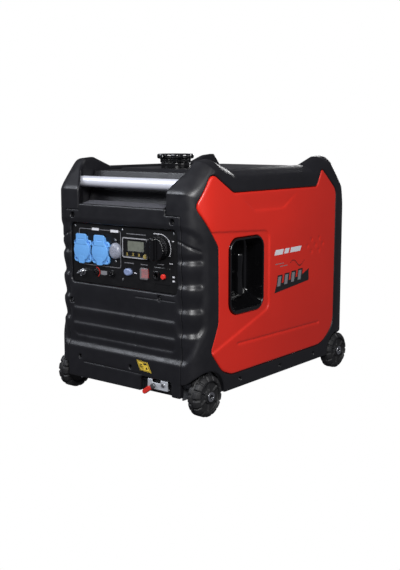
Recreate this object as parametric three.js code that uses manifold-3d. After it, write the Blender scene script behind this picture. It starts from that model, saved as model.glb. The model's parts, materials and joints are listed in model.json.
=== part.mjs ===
// Inverter generator on four small wheels: a moulded shell round an engine, alternator and inverter.
// Millimetres. +Z is up, -Y is the control side and +X is the recoil side. The origin is on the
// ground under the middle of the machine.

import * as THREE from "three";
import { mergeVertices } from "three/addons/utils/BufferGeometryUtils.js";
import Module from "manifold-3d";

const wasm = await Module();
wasm.setup();

// ---------------------------------------------------------------- driving dimensions

const CUT = 1; // how far a cutting solid overruns, and joined solids overlap
const GAP = 0.3; // between pieces that touch
const RUN = 0.3; // round a turning or sliding shaft
const ROUND_SIDES = 24; // sides of a large round
const MEDIUM_SIDES = 16; // sides of a middling round
const SMALL_SIDES = 12; // sides of a small round
const TINY_SIDES = 8; // sides of a bore or a pin
const HEX_SIDES = 6; // sides of a nut
const CURVE_STEPS = 4; // steps in each rounded corner
const MERGE = 1e-4; // how close two corners are to be one

// Shell
const BODY_WIDTH = 374; // over the side panels
const BODY_LENGTH = 566; // front face to rear face
const BODY_SHIFT = 2; // how far the shell's middle lies behind the origin
const WALL = 6;
const CHAMFER_IN = 24; // the guards' outer chamfer, across
const CHAMFER_DOWN = 16; // and down
const FRONT_CORNER = { across: 29, depth: 8, along: 64 };
const REAR_CORNER = { across: 37, along: 60, depth: 3 };
const GUARD_WIDTH = 45; // side panel to the guard's inner face
const SEAM_INSET = 37; // side panel to the seam of the end panels
const CHEEK = { flare: 28, length: 46 }; // how far each guard's ends thicken inwards
const GUARD_LAP = 12; // how far a guard's inner face runs below the deck

// Heights
const SKIRT_Z = 38;
const SHELF_Z = 395;
const DECK_Z = 466;
const DIP_Z = 467;
const CHEEK_Z = 424;
const PEAK_Z = 486;

// Side panels
const PANEL_WALL = 3;
const PANEL_FIT = 0.4;
const PANEL_LIP = 7;

// End panels
const SHELF_DEPTH = 56;
const DECK_SLOPE = 20; // how far the deck's end slopes lean
const SHEET = 4; // thickness of end panels and top cover
const RECESS = { halfWidth: 140, low: 235, high: 356, depth: 9, rim: 4 };
const LEDGE = { thickness: 2, side: 8, low: 4, high: 8 }; // stops the control plate from behind
const BRAKE_CUT = { left: 50, right: 128, top: 67 };
const GRILLE = { halfWidth: 112, low: 110, high: 345, thickness: 5, slots: 9, slotHeight: 9 };
const GRILLE_EDGE = { margin: 12, spine: 6 }; // left solid beside the slots
const PIPE_RING = { width: 10, gap: 3 }; // round the tail pipe, in the grille

// Handles
const HANDLE_RADIUS = 11;
const HANDLE_BORE = 9;
const HANDLE_SHORT = 1; // how far a bar's end stops short of the guard's hollow
const HANDLE_INSET = { front: 36, rear: 44 }; // end face to bar centre
const HANDLE_Z = 438;

// Wheels and axles
const WHEEL_RADIUS = 40.5;
const WHEEL_WIDTH = 38;
const WHEEL_RIM = 31;
const WHEEL_DISH = 6;
const HUB_RADIUS = 12;
const SHOULDER = { drop: 3, width: 4 }; // the bevel at a tread's edges
const WHEEL_PROUD = 3; // tread beyond the side panel
const FRONT_WHEEL_INSET = 44;
const REAR_WHEEL_INSET = 41;
const ARCH_CLEARANCE = 6.5;
const AXLE_RADIUS = 6;
const AXLE_HEAD = { radius: 9.8, length: 4.4, proud: 2 };
const COLLAR = { radius: 9, length: 5 };
const BEAM = { thickness: 3, halfDepth: 20, top: 60, bottom: 28, endGap: 8 };
const TRAY = 4; // tray floor
const LINER = { thickness: 3, gap: 5, inset: 12 }; // the tray's arches over the wheels

// Recess dish and recoil starter
const DISH = { front: -173, rear: -59, low: 186, high: 334, corner: 25, depth: 44, wall: 3 };
const GRIP = { radius: 10, waist: 7.5, halfLength: 42, z: 260, inset: 22, taper: 8, middle: 8.5 };
const GRIP_STEM = { radius: 6, solid: 4 }; // solid: how far the rope stops short of the bar
const ROPE_RADIUS = 2.5;
const ROPE_HOLE = 4.5; // radius of the holes that the rope runs through
const PULLEY = { radius: 40, width: 16, clearance: 1 };
const SHAFT_X = 20;
const RECOIL = { radius: 66, wall: 4, front: -140, rear: -97, post: 8, postProud: 2 };
const RECOIL_FOOT = { angles: [30, 150, 270], reach: 16, radius: 6, depth: 8 };

// Fuel system
const TANK = { halfWidth: 118, front: -165, rear: 150, low: 345, high: 440, corner: 18 };
const NECK = { radius: 27, bore: 20, y: -111, floor: 5, clearance: 1 };
const CAP = { radius: 38, skirt: 34, low: 475, top: 493, stem: 9, socket: 6 };
const LOBES = { count: 8, radius: 9, inset: 2 };
const PLUG = { flange: 30, thickness: 4, drop: 18, clearance: 1 };

// Engine and alternator
const ENGINE = { left: -50, right: 90, front: -15, rear: 85, low: 120, high: 310, corner: 16 };
const SHAFT = { radius: 11, front: -91, rear: 70 };
const ROTOR = { radius: 72, wall: 9, web: 9, front: -68, rear: -20 };
const STATOR = { gap: 1.5, bore: 28, front: -50, clearance: 2, setback: 4 };
const FAN = { radius: 70, hub: 22, disc: 4, blades: 9, front: -92, depth: 16, root: 4, tip: 2, blade: 3 };
const HEAD = { length: 92, front: -5, rear: 75, low: 215, high: 300, fins: 7, fin: 4, core: 12 };
const PLUG_SPARK = { hex: 9, hexLength: 10, cap: 7, length: 24, z: 258 };
const DIPSTICK = { y: 20, z: 150, knob: 10, knobLength: 16, rod: 4, reach: 34, clearance: 2 };
const CRADLE = { wall: 5, halfWidth: 62, hole: 22, inset: 5, foot: 18 };
const CARBURETTOR = { left: -128, right: -86, low: 232, high: 282, length: 30, flange: 5 };
const CARBURETTOR_PAD = { side: 6, end: 8 }; // how far its seat on the head lies inside the flange
const FLOAT_BOWL = { radius: 11, drop: 16, rise: 8 };
const FILTER = { left: -168, right: -72, length: 58, low: 212, high: 322, corner: 12 };
const MUFFLER = { radius: 44, x: 34, y: 168, z: 218, halfLength: 80, neck: 14, neckRise: 10, round: 8 };
const TAIL_PIPE = { radius: 14, bore: 11, x: 60, proud: 12, blind: 4 };
const BATTERY = { left: -168, right: -92, front: -140, rear: -48, high: 150 };
const BATTERY_POST = { radius: 6, inset: 14, height: 10 };
const INVERTER = { left: -122, right: 44, front: -258, rear: -160, high: 176, fins: 9, fin: 3, root: 20 };

// Service door, on the left side panel
const DOOR = { front: -62, rear: 112, low: 132, high: 372, gap: 1.5, hingeGap: 3, corner: 12 };
const HINGE = { radius: 4, pin: 1.5, halfLength: 70, knuckle: 14, recess: 1.5, clearance: 1 };
const LATCH = { head: 9, proud: 3, shaft: 4, inset: 16, cam: 22, camWidth: 10, camThickness: 5 };

// Control panel. x and z are places on the plate; proud is the height above it.
const PLATE = 3;
const PLATE_FIT = 0.4;
const SOCKET = { x: [-107, -57], z: 302, half: 24, rise: 28, drop: 24, flange: 5 };
const SOCKET_WELL = { barrel: 22, bore: 19.5, depth: 19, floor: 3 };
const LID = { radius: 21.8, thickness: 3.6, hingeZ: 333, barrel: 2.4, halfBarrel: 11, tab: 8, tabZ: 275 };
const LID_EAR = { thickness: 3, halfHeight: 4.5 };
const BREAKER = { x: -18.5, z: 306, radius: 14, proud: 11 };
const DISPLAY = { left: 2.5, right: 68.5, low: 295.5, high: 336, proud: 5 };
const SCREEN = { left: 13, right: 59, low: 309, high: 330, depth: 2 };
const DISPLAY_BUTTON = { x: 62, z: 301.5, radius: 4.5, proud: 7, base: 2 };
const SWITCH = { x: 94.5, z: 319.5, radius: 23, proud: 18, round: 3, bar: 25, barWidth: 9, barInset: 5 };
const START = { x: 14, z: 267.5, radius: 10, proud: 5, flatten: 0.72 };
const ROCKER = { x: 57, z: 268, halfWidth: 8.5, halfHeight: 9, proud: 2.5, heel: 3, tilt: 0.2 };
const ROCKER_FRAME = { half: 11.5, proud: 2, sideGap: 0.6, endGap: 1.5 };
const DC_SOCKET = { x: 87, z: 267.5, radius: 8.5, barrel: 7, bore: 5, proud: 4, depth: 14, floor: 2 };
const DC_BREAKER = { x: 104, z: 266.5, radius: 5.5, proud: 6 };
const GROUND = { x: -110, z: 257, stud: 3, nut: 7, nutProud: 6, proud: 14 };
const WING = { reach: 11, half: 1.5, front: 11, back: 5 }; // front and back are heights above the plate
const PARALLEL = { x: [-73, -30], z: 259.5, radius: 6, block: 9, blockProud: 2, proud: 6 };
const PRESS_ROUND = 2; // the bevel of a press button's face
const PRESS_SHAFT = 3.2; // radius of the shaft behind a press button
const PRESS_DEPTH = 9; // how far that shaft reaches behind the plate

// Wheel lock at the front foot
const LOCK = { left: 68, right: 125, low: 47, high: 65, thickness: 2.5, inset: 1 };
const PIVOT = { x: 84, z: 54, proud: 5 };
const LEVER = { pin: 3, boss: 6, arm: 26, width: 7, tip: 4, angle: -2.7, thickness: 5 };

// ---------------------------------------------------------------- values that follow

const SIDE = BODY_WIDTH / 2;
const FRONT = BODY_SHIFT - BODY_LENGTH / 2;
const REAR = BODY_SHIFT + BODY_LENGTH / 2;
const GUARD_INNER = SIDE - GUARD_WIDTH;
const SEAM = SIDE - SEAM_INSET;
const COVER_HALF = GUARD_INNER - GAP;
const END_HALF = SEAM - GAP;
const AXLE_Z = WHEEL_RADIUS;
const WHEEL_Y = { front: FRONT + FRONT_WHEEL_INSET, rear: REAR - REAR_WHEEL_INSET };
const WHEEL_OUTER = SIDE + WHEEL_PROUD;
const WHEEL_INNER = WHEEL_OUTER - WHEEL_WIDTH;
const ARCH = WHEEL_RADIUS + ARCH_CLEARANCE;
const TRAY_Z = BEAM.top + GAP;
const FLOOR_Z = TRAY_Z + TRAY + GAP;
const HANDLE_END = GUARD_INNER + WALL - HANDLE_SHORT;
const HANDLE_Y = { front: FRONT + HANDLE_INSET.front, rear: REAR - HANDLE_INSET.rear };
const PLATE_FRONT = FRONT + RECESS.depth;
const PLATE_BACK = PLATE_FRONT + PLATE;
const LOCK_FACE = FRONT + LOCK.inset;
const SHAFT_Z = GRIP.z - PULLEY.radius;
const PULLEY_FRONT = (DISH.front + DISH.rear) / 2 - PULLEY.width / 2;
const GRIP_Y = PULLEY_FRONT + PULLEY.width / 2;
const GRIP_X = SIDE - GRIP.inset;
const STATOR_RADIUS = ROTOR.radius - ROTOR.wall - STATOR.gap;
const HINGE_Y = DOOR.rear - DOOR.hingeGap;
const HINGE_X = SIDE - HINGE.recess;
const HINGE_Z = (DOOR.low + DOOR.high) / 2;

// ---------------------------------------------------------------- solids

// A manifold solid from a closed three.js geometry.
function solid(geometry) {
  const flat = geometry.index ? geometry.toNonIndexed() : geometry;
  const bare = new THREE.BufferGeometry();
  bare.setAttribute("position", flat.getAttribute("position"));
  const merged = mergeVertices(bare, MERGE);
  return new wasm.Manifold(
    new wasm.Mesh({
      numProp: 3,
      vertProperties: merged.attributes.position.array,
      triVerts: new Uint32Array(merged.index.array),
    }),
  );
}

function block(x, y, z) {
  const geometry = new THREE.BoxGeometry(x[1] - x[0], y[1] - y[0], z[1] - z[0]);
  geometry.translate((x[0] + x[1]) / 2, (y[0] + y[1]) / 2, (z[0] + z[1]) / 2);
  return solid(geometry);
}

// Turns a shape drawn across an axis so that it is extruded along that axis. Across x the drawing
// plane is (y, z), across y it is (x, z) and across z it is (x, y).
const FACING = {
  x: new THREE.Matrix4().set(0, 0, 1, 0, 1, 0, 0, 0, 0, 1, 0, 0, 0, 0, 0, 1),
  y: new THREE.Matrix4().set(1, 0, 0, 0, 0, 0, -1, 0, 0, 1, 0, 0, 0, 0, 0, 1),
  z: new THREE.Matrix4(),
};

function prism(axis, shape, low, high, bevel = {}) {
  const options = { depth: high - low, bevelEnabled: false, curveSegments: CURVE_STEPS, ...bevel };
  const geometry = new THREE.ExtrudeGeometry(shape, options);
  geometry.translate(0, 0, axis === "y" ? -high : low);
  return solid(geometry.applyMatrix4(FACING[axis]));
}

// Turns a geometry whose own axis is +Y so that it lies along an axis through centre, which holds
// the other two coordinates in x, y, z order.
function layAlong(axis, centre, geometry) {
  if (axis === "x") geometry.rotateZ(-Math.PI / 2).translate(0, centre[0], centre[1]);
  if (axis === "y") geometry.translate(centre[0], 0, centre[1]);
  if (axis === "z") geometry.rotateX(Math.PI / 2).translate(centre[0], centre[1], 0);
  return geometry;
}

function rod(axis, centre, radius, low, high, sides = ROUND_SIDES) {
  const geometry = new THREE.CylinderGeometry(radius, radius, high - low, sides);
  geometry.translate(0, (low + high) / 2, 0);
  return solid(layAlong(axis, centre, geometry));
}

// A turned solid. The profile lists [radius, place along the axis], going up the axis outside.
function turned(axis, centre, profile, sides = ROUND_SIDES) {
  const points = profile.map(([radius, along]) => new THREE.Vector2(radius, along));
  return solid(layAlong(axis, centre, new THREE.LatheGeometry(points, sides)));
}

// A turned ring: its profile closes on itself.
function ring(axis, centre, profile, sides) {
  return turned(axis, centre, [...profile, profile[0]], sides);
}

function joinAll(solids) {
  return solids.reduce((whole, piece) => whole.add(piece));
}

// ---------------------------------------------------------------- outlines

// An outline through corners [u, v, radius], anticlockwise, with each corner rounded.
function outline(corners) {
  const shape = new THREE.Shape();
  corners.forEach(([u, v, radius = 0], i) => {
    const corner = new THREE.Vector2(u, v);
    const [before, after] = [corners.at(i - 1), corners[(i + 1) % corners.length]].map(([p, q]) =>
      new THREE.Vector2(p, q).sub(corner).setLength(radius).add(corner),
    );
    shape[i ? "lineTo" : "moveTo"](before.x, before.y);
    if (radius) shape.quadraticCurveTo(u, v, after.x, after.y);
  });
  return shape;
}

// The same corners with each edge moved out by a distance, or in where it is negative.
function grown(corners, distance) {
  const edges = corners.map(([u, v], i) => {
    const [p, q] = corners[(i + 1) % corners.length];
    const along = new THREE.Vector2(p - u, q - v).normalize();
    return { along, offset: along.y * u - along.x * v + distance };
  });
  return corners.map(([, , radius], i) => {
    const a = edges.at(i - 1);
    const b = edges[i];
    const cross = a.along.cross(b.along);
    const u = (b.offset * a.along.x - a.offset * b.along.x) / cross;
    const v = (b.offset * a.along.y - a.offset * b.along.y) / cross;
    return [u, v, radius];
  });
}

function rectangle(u, v, radius = 0) {
  return [
    [u[0], v[0], radius],
    [u[1], v[0], radius],
    [u[1], v[1], radius],
    [u[0], v[1], radius],
  ];
}

// Plan of the shell: straight sides that curve in to the narrower end faces.
function planOutline(inset) {
  const side = SIDE - inset;
  const front = FRONT + inset;
  const rear = REAR - inset;
  const shape = new THREE.Shape();
  shape.moveTo(side - FRONT_CORNER.across, front);
  shape.quadraticCurveTo(side, front + FRONT_CORNER.depth, side, front + FRONT_CORNER.along);
  shape.lineTo(side, rear - REAR_CORNER.along);
  shape.quadraticCurveTo(side, rear - REAR_CORNER.depth, side - REAR_CORNER.across, rear);
  shape.lineTo(REAR_CORNER.across - side, rear);
  shape.quadraticCurveTo(-side, rear - REAR_CORNER.depth, -side, rear - REAR_CORNER.along);
  shape.lineTo(-side, front + FRONT_CORNER.along);
  shape.quadraticCurveTo(-side, front + FRONT_CORNER.depth, FRONT_CORNER.across - side, front);
  return shape;
}

// Side view of the shell, from below the skirt to the guards' peaks.
const SIDE_VIEW = [
  [FRONT, -60],
  [REAR, -60],
  [REAR, SHELF_Z - 25],
  [REAR - 18, CHEEK_Z],
  [REAR - 78, PEAK_Z],
  [REAR - 104, PEAK_Z - 2],
  [REAR - 158, DIP_Z],
  [FRONT + 128, DIP_Z],
  [FRONT + 78, PEAK_Z],
  [FRONT + 51, PEAK_Z - 2],
  [FRONT, CHEEK_Z],
];

// Side view of a side panel.
const SIDE_PANEL = [
  [FRONT + 116, 69, 8],
  [REAR - 112, 69, 26],
  [REAR - 64, 104, 26],
  [REAR - 62, 411, 14],
  [REAR - 123, 459, 8],
  [REAR - 144, 421, 4],
  [FRONT + 120, 422, 6],
  [FRONT + 53, 461, 14],
  [FRONT + 14, 400, 14],
  [FRONT + 73, 324, 8],
  [FRONT + 74, 176, 8],
  [FRONT + 50, 124, 10],
  [FRONT + 86, 80, 12],
];

// ---------------------------------------------------------------- shell

// The shell as a solid body, with every face moved in by the inset.
function shellCore(inset) {
  const plan = prism("z", planOutline(inset), 0, PEAK_Z + CUT);
  const half = SIDE - inset;
  const bevel = {
    bevelEnabled: true,
    bevelThickness: CHAMFER_IN,
    bevelSize: CHAMFER_DOWN,
    bevelOffset: -CHAMFER_DOWN,
    bevelSegments: 1,
  };
  const view = outline(grown(SIDE_VIEW, -inset));
  return plan.intersect(prism("x", view, CHAMFER_IN - half, half - CHAMFER_IN, bevel));
}

const CORE = shellCore(0);
const CORE_INSIDE = shellCore(WALL);
const CORE_BEHIND_PANEL = shellCore(PANEL_WALL + GAP);

// Side view of the space between the guards, dropped by a lap.
function deckView(lap) {
  return [
    [FRONT - CUT, 0],
    [REAR + CUT, 0],
    [REAR + CUT, SHELF_Z - lap],
    [REAR - SHELF_DEPTH, SHELF_Z - lap],
    [REAR - SHELF_DEPTH - DECK_SLOPE, DECK_Z - lap],
    [FRONT + SHELF_DEPTH + DECK_SLOPE, DECK_Z - lap],
    [FRONT + SHELF_DEPTH, SHELF_Z - lap],
    [FRONT - CUT, SHELF_Z - lap],
  ];
}

function wheelArch(y, radius, low, high) {
  return rod("x", [y, AXLE_Z], radius, low, high);
}

// The wedges at both ends of a guard that thicken it inwards, with every face moved out by a gap.
function cheeks(gap) {
  const low = SHELF_Z - GUARD_LAP - gap;
  const tip = GUARD_INNER - CHEEK.flare - gap;
  const wedges = [[FRONT, 1], [REAR, -1]].map(([end, inwards]) => {
    const corners = [
      [tip, end - inwards],
      [GUARD_INNER + WALL, end - inwards],
      [GUARD_INNER + WALL, end + inwards * CHEEK.length],
      [GUARD_INNER - gap, end + inwards * CHEEK.length],
    ];
    return prism("z", outline(inwards > 0 ? corners : corners.reverse()), low, PEAK_Z + CUT);
  });
  return joinAll(wedges);
}

// One side's guard, corners and skirt, open where the side panel sits.
function sideFrame() {
  const bar = block([GUARD_INNER, SIDE + CUT], [FRONT - CUT, REAR + CUT], [SKIRT_Z, PEAK_Z + CUT]);
  const zone = bar.add(cheeks(0));
  const cavity = CORE_INSIDE.intersect(
    block([GUARD_INNER + WALL, SIDE], [FRONT, REAR], [SKIRT_Z - CUT, PEAK_Z]),
  );
  const between = prism("x", outline(deckView(GUARD_LAP)), 0, SEAM);
  const seat = prism("x", outline(grown(SIDE_PANEL, PANEL_FIT)), SEAM, SIDE + CUT);
  const window = prism("x", outline(grown(SIDE_PANEL, -PANEL_LIP)), GUARD_INNER + WALL, SIDE + CUT);
  let frame = CORE.intersect(zone).subtract(cavity).subtract(between);
  frame = frame.subtract(seat.subtract(CORE_BEHIND_PANEL)).subtract(window);
  for (const y of [WHEEL_Y.front, WHEEL_Y.rear]) {
    frame = frame.subtract(wheelArch(y, ARCH, WHEEL_INNER - CUT, SIDE + CUT));
  }
  for (const y of [HANDLE_Y.front, HANDLE_Y.rear]) {
    const ends = [GUARD_INNER - CHEEK.flare - CUT, GUARD_INNER + WALL + CUT];
    frame = frame.subtract(rod("x", [y, HANDLE_Z], HANDLE_RADIUS + GAP, ...ends));
  }
  return frame;
}

// One side panel before its openings are cut.
function sidePanelBlank() {
  const field = prism("x", outline(SIDE_PANEL), GUARD_INNER + WALL, SIDE + CUT);
  return field.intersect(CORE).subtract(shellCore(PANEL_WALL));
}

function dishView(grow) {
  const { front, rear, low, high, corner } = DISH;
  return outline(grown(rectangle([front, rear], [low, high], corner), grow));
}

function sidePanelRight() {
  return sidePanelBlank().subtract(prism("x", dishView(GAP), SEAM, SIDE + CUT));
}

function hingeRod(radius, low, high) {
  const centre = [HINGE_X, HINGE_Y];
  return rod("z", centre, radius, HINGE_Z + low, HINGE_Z + high, SMALL_SIDES);
}

// The left panel is drawn on the right and mirrored. It carries the door's hinge pin.
function sidePanelLeft() {
  const { halfLength, knuckle, radius, pin } = HINGE;
  const hole = outline(rectangle([DOOR.front, DOOR.rear], [DOOR.low, DOOR.high], DOOR.corner));
  const reach = radius + DOOR.gap;
  let panel = sidePanelBlank().subtract(prism("x", hole, SEAM, SIDE + CUT));
  panel = panel.subtract(hingeRod(reach, -halfLength, halfLength));
  for (const end of [-1, 1]) {
    const span = [end * halfLength, end * (halfLength + knuckle)].sort((a, b) => a - b);
    const web = block(
      [SIDE - PANEL_WALL, SIDE],
      [HINGE_Y, DOOR.rear + CUT],
      span.map((z) => HINGE_Z + z),
    );
    panel = joinAll([panel, hingeRod(radius, ...span), web]);
  }
  return panel.add(hingeRod(pin, -halfLength - CUT, halfLength + CUT));
}

function latchPlace() {
  return [DOOR.front + LATCH.inset, HINGE_Z];
}

function serviceDoor() {
  const { halfLength, knuckle, radius, pin } = HINGE;
  const y = [DOOR.front + DOOR.gap, HINGE_Y - CUT];
  const z = [DOOR.low + DOOR.gap, DOOR.high - DOOR.gap];
  let door = prism("x", outline(rectangle(y, z, DOOR.corner - DOOR.gap)), SIDE - PANEL_WALL, SIDE);
  for (const end of [-1, 1]) {
    const span = [end * (halfLength - GAP), end * (halfLength + knuckle + DOOR.gap)];
    door = door.subtract(hingeRod(radius + HINGE.clearance, Math.min(...span), Math.max(...span)));
  }
  door = door.add(hingeRod(radius, GAP - halfLength, halfLength - GAP));
  door = door.subtract(hingeRod(pin + GAP, -halfLength - CUT, halfLength + CUT));
  const hole = LATCH.shaft + RUN;
  return door.subtract(rod("x", latchPlace(), hole, SIDE - PANEL_WALL - CUT, SIDE + CUT, SMALL_SIDES));
}

// A quarter-turn latch: its cam stands upright and turns behind the panel's edge.
function serviceDoorLatch() {
  const [y, z] = latchPlace();
  const back = SIDE - PANEL_WALL - GAP;
  const camBack = back - LATCH.camThickness;
  const head = rod("x", [y, z], LATCH.head, SIDE + GAP, SIDE + LATCH.proud, SMALL_SIDES);
  const shaft = rod("x", [y, z], LATCH.shaft, camBack, SIDE + CUT, SMALL_SIDES);
  const half = LATCH.camWidth / 2;
  const cam = block([camBack, back], [y - half, y + half], [z - LATCH.cam, z + half]);
  return joinAll([head, shaft, cam]);
}

// The shelf under a handle, the face below it and the lap where the guards stand.
function endPanel(end, sign) {
  const y = (near, far) => [end - sign * near, end - sign * far].sort((a, b) => a - b);
  const face = block([-END_HALF, END_HALF], y(0, SHEET), [SKIRT_Z, SHELF_Z - GUARD_LAP - GAP]);
  const brow = block([-COVER_HALF, COVER_HALF], y(0, SHEET), [SHELF_Z - GUARD_LAP - CUT, SHELF_Z]);
  const shelf = block([-COVER_HALF, COVER_HALF], y(0, SHELF_DEPTH - GAP), [SHELF_Z - SHEET, SHELF_Z]);
  const right = cheeks(GAP);
  return joinAll([face, brow, shelf]).subtract(right).subtract(right.mirror([1, 0, 0]));
}

function frontPanel() {
  const { halfWidth, low, high, depth, rim } = RECESS;
  const ledge = [PLATE_BACK + GAP, PLATE_BACK + LEDGE.thickness];
  const back = ledge[1];
  const frame = block([-halfWidth - rim, halfWidth + rim], [FRONT, back], [low - rim, high + rim]);
  const window = block([-halfWidth, halfWidth], [FRONT - CUT, back + CUT], [low, high]);
  const stop = block([-halfWidth - CUT, halfWidth + CUT], ledge, [low - CUT, high + CUT]);
  const stopHole = block(
    [LEDGE.side - halfWidth, halfWidth - LEDGE.side],
    [FRONT, back + CUT],
    [low + LEDGE.low, high - LEDGE.high],
  );
  const { left, right, top } = BRAKE_CUT;
  const notch = block([left, right], [FRONT - CUT, FRONT + depth], [0, top]);
  const body = endPanel(FRONT, -1).add(frame).subtract(window);
  return body.add(stop.subtract(stopHole)).subtract(notch);
}

function rearPanel() {
  const { halfWidth, low, high } = GRILLE;
  const window = block([-halfWidth, halfWidth], [REAR - SHELF_DEPTH, REAR + CUT], [low, high]);
  return endPanel(REAR, 1).subtract(window);
}

// Slotted grille in the rear panel, with a round hole for the tail pipe.
function exhaustGrille() {
  const { halfWidth, low, high, thickness, slots, slotHeight } = GRILLE;
  const { margin, spine } = GRILLE_EDGE;
  const through = [REAR - thickness - CUT, REAR + CUT];
  const y = [REAR - thickness, REAR - GAP];
  const half = halfWidth - GAP;
  const pipe = [TAIL_PIPE.x, MUFFLER.z];
  let grille = block([-half, half], y, [low + GAP, high - GAP]);
  const pitch = (high - low) / (slots + 1);
  for (let i = 1; i <= slots; i += 1) {
    const z = low + i * pitch;
    for (const x of [[margin - half, -spine], [spine, half - margin]]) {
      grille = grille.subtract(block(x, through, [z, z + slotHeight]));
    }
  }
  grille = grille.add(rod("y", pipe, TAIL_PIPE.radius + PIPE_RING.width, ...y));
  return grille.subtract(rod("y", pipe, TAIL_PIPE.radius + PIPE_RING.gap, ...through));
}

function topCover() {
  const top = outline(deckView(0));
  const inner = outline(grown(deckView(0), -SHEET));
  const span = [FRONT + SHELF_DEPTH, REAR - SHELF_DEPTH];
  const keep = block([-COVER_HALF, COVER_HALF], span, [SHELF_Z - SHEET, DECK_Z + CUT]);
  const sheet = prism("x", top, -COVER_HALF, COVER_HALF).subtract(
    prism("x", inner, -COVER_HALF - CUT, COVER_HALF + CUT),
  );
  const hole = rod("z", [0, NECK.y], NECK.radius + NECK.clearance, SHELF_Z, DECK_Z + CUT);
  return sheet.intersect(keep).subtract(hole);
}

function handleBar(y) {
  const profile = [
    [HANDLE_BORE, -HANDLE_END],
    [HANDLE_RADIUS, -HANDLE_END],
    [HANDLE_RADIUS, HANDLE_END],
    [HANDLE_BORE, HANDLE_END],
  ];
  return ring("x", [y, HANDLE_Z], profile, ROUND_SIDES);
}

// ---------------------------------------------------------------- tray, axles and wheels

function baseTray() {
  const plan = prism("z", planOutline(WALL + GAP), TRAY_Z, TRAY_Z + TRAY);
  const side = SIDE - WALL - GAP;
  const inner = WHEEL_INNER - LINER.gap;
  let tray = plan;
  for (const sign of [-1, 1]) {
    for (const y of [WHEEL_Y.front, WHEEL_Y.rear]) {
      const span = (near, far) => [sign * near, sign * far].sort((a, b) => a - b);
      const width = span(inner - LINER.thickness, side - LINER.inset);
      const shell = wheelArch(y, ARCH + LINER.thickness, ...width);
      const upper = block(span(0, SIDE), [FRONT + WALL + CUT, REAR - WALL - CUT], [TRAY_Z, PEAK_Z]);
      tray = tray.add(shell.intersect(upper).intersect(CORE_INSIDE));
      tray = tray.subtract(wheelArch(y, ARCH, ...span(inner, SIDE)));
    }
  }
  return tray;
}

// A steel channel under the tray whose ears hold an axle.
function axleBeam(y) {
  const { thickness, halfDepth, top, bottom, endGap } = BEAM;
  const half = WHEEL_INNER - COLLAR.length - endGap;
  const depth = [y - halfDepth, y + halfDepth];
  const outside = block([-half, half], depth, [bottom, top]);
  const through = [depth[0] - CUT, depth[1] + CUT];
  const inside = block([thickness - half, half - thickness], through, [0, top - thickness]);
  const bore = rod("x", [y, AXLE_Z], AXLE_RADIUS + RUN, -half - CUT, half + CUT, SMALL_SIDES);
  return outside.subtract(inside).subtract(bore);
}

function axle(y) {
  const seat = WHEEL_INNER - GAP;
  const collar = seat - COLLAR.length;
  const end = WHEEL_OUTER + AXLE_HEAD.proud;
  const head = end - AXLE_HEAD.length;
  const half = [
    [AXLE_RADIUS, collar],
    [COLLAR.radius, collar],
    [COLLAR.radius, seat],
    [AXLE_RADIUS, seat],
    [AXLE_RADIUS, head],
    [AXLE_HEAD.radius, head],
    [AXLE_HEAD.radius, end],
    [0, end],
  ];
  const otherHalf = half.map(([radius, x]) => [radius, -x]).reverse();
  return turned("x", [y, AXLE_Z], [...otherHalf, ...half], SMALL_SIDES);
}

// A right-hand wheel: tread, dished outer face and hub, with a bore for the axle.
function wheel(y) {
  const bore = AXLE_RADIUS + RUN;
  const hub = WHEEL_OUTER + AXLE_HEAD.proud - AXLE_HEAD.length - GAP;
  const floor = WHEEL_OUTER - WHEEL_DISH;
  const profile = [
    [bore, WHEEL_INNER],
    [WHEEL_RADIUS - SHOULDER.drop, WHEEL_INNER],
    [WHEEL_RADIUS, WHEEL_INNER + SHOULDER.width],
    [WHEEL_RADIUS, WHEEL_OUTER - SHOULDER.width],
    [WHEEL_RADIUS - SHOULDER.drop, WHEEL_OUTER],
    [WHEEL_RIM, WHEEL_OUTER],
    [WHEEL_RIM - SHOULDER.drop, floor],
    [HUB_RADIUS, floor],
    [HUB_RADIUS, hub],
    [bore, hub],
  ];
  return ring("x", [y, AXLE_Z], profile, ROUND_SIDES);
}

// ---------------------------------------------------------------- recess dish and recoil starter

function recessDish() {
  const floor = SIDE - DISH.depth;
  const bowl = prism("x", dishView(0), floor - DISH.wall, SIDE);
  const hollow = prism("x", dishView(-DISH.wall), floor, SIDE + CUT);
  const through = [floor - DISH.wall - CUT, floor + CUT];
  const hole = rod("x", [GRIP_Y, GRIP.z], ROPE_HOLE, ...through, SMALL_SIDES);
  return bowl.subtract(hollow).subtract(hole);
}

// An upright T-handle: a waisted bar with a stem that the rope enters.
function recoilGrip() {
  const { radius, waist, middle, halfLength, taper, z } = GRIP;
  const profile = [
    [0, z - halfLength],
    [waist, z - halfLength],
    [radius, z - halfLength + taper],
    [middle, z],
    [radius, z + halfLength - taper],
    [waist, z + halfLength],
    [0, z + halfLength],
  ];
  const handle = turned("z", [GRIP_X, GRIP_Y], profile, SMALL_SIDES);
  const neck = rod("x", [GRIP_Y, z], GRIP_STEM.radius, SIDE - DISH.depth + GAP, GRIP_X, SMALL_SIDES);
  const end = GRIP_X - radius - GRIP_STEM.solid;
  const bore = rod("x", [GRIP_Y, z], ROPE_RADIUS + GAP, 0, end, TINY_SIDES);
  return handle.add(neck).subtract(bore);
}

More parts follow.
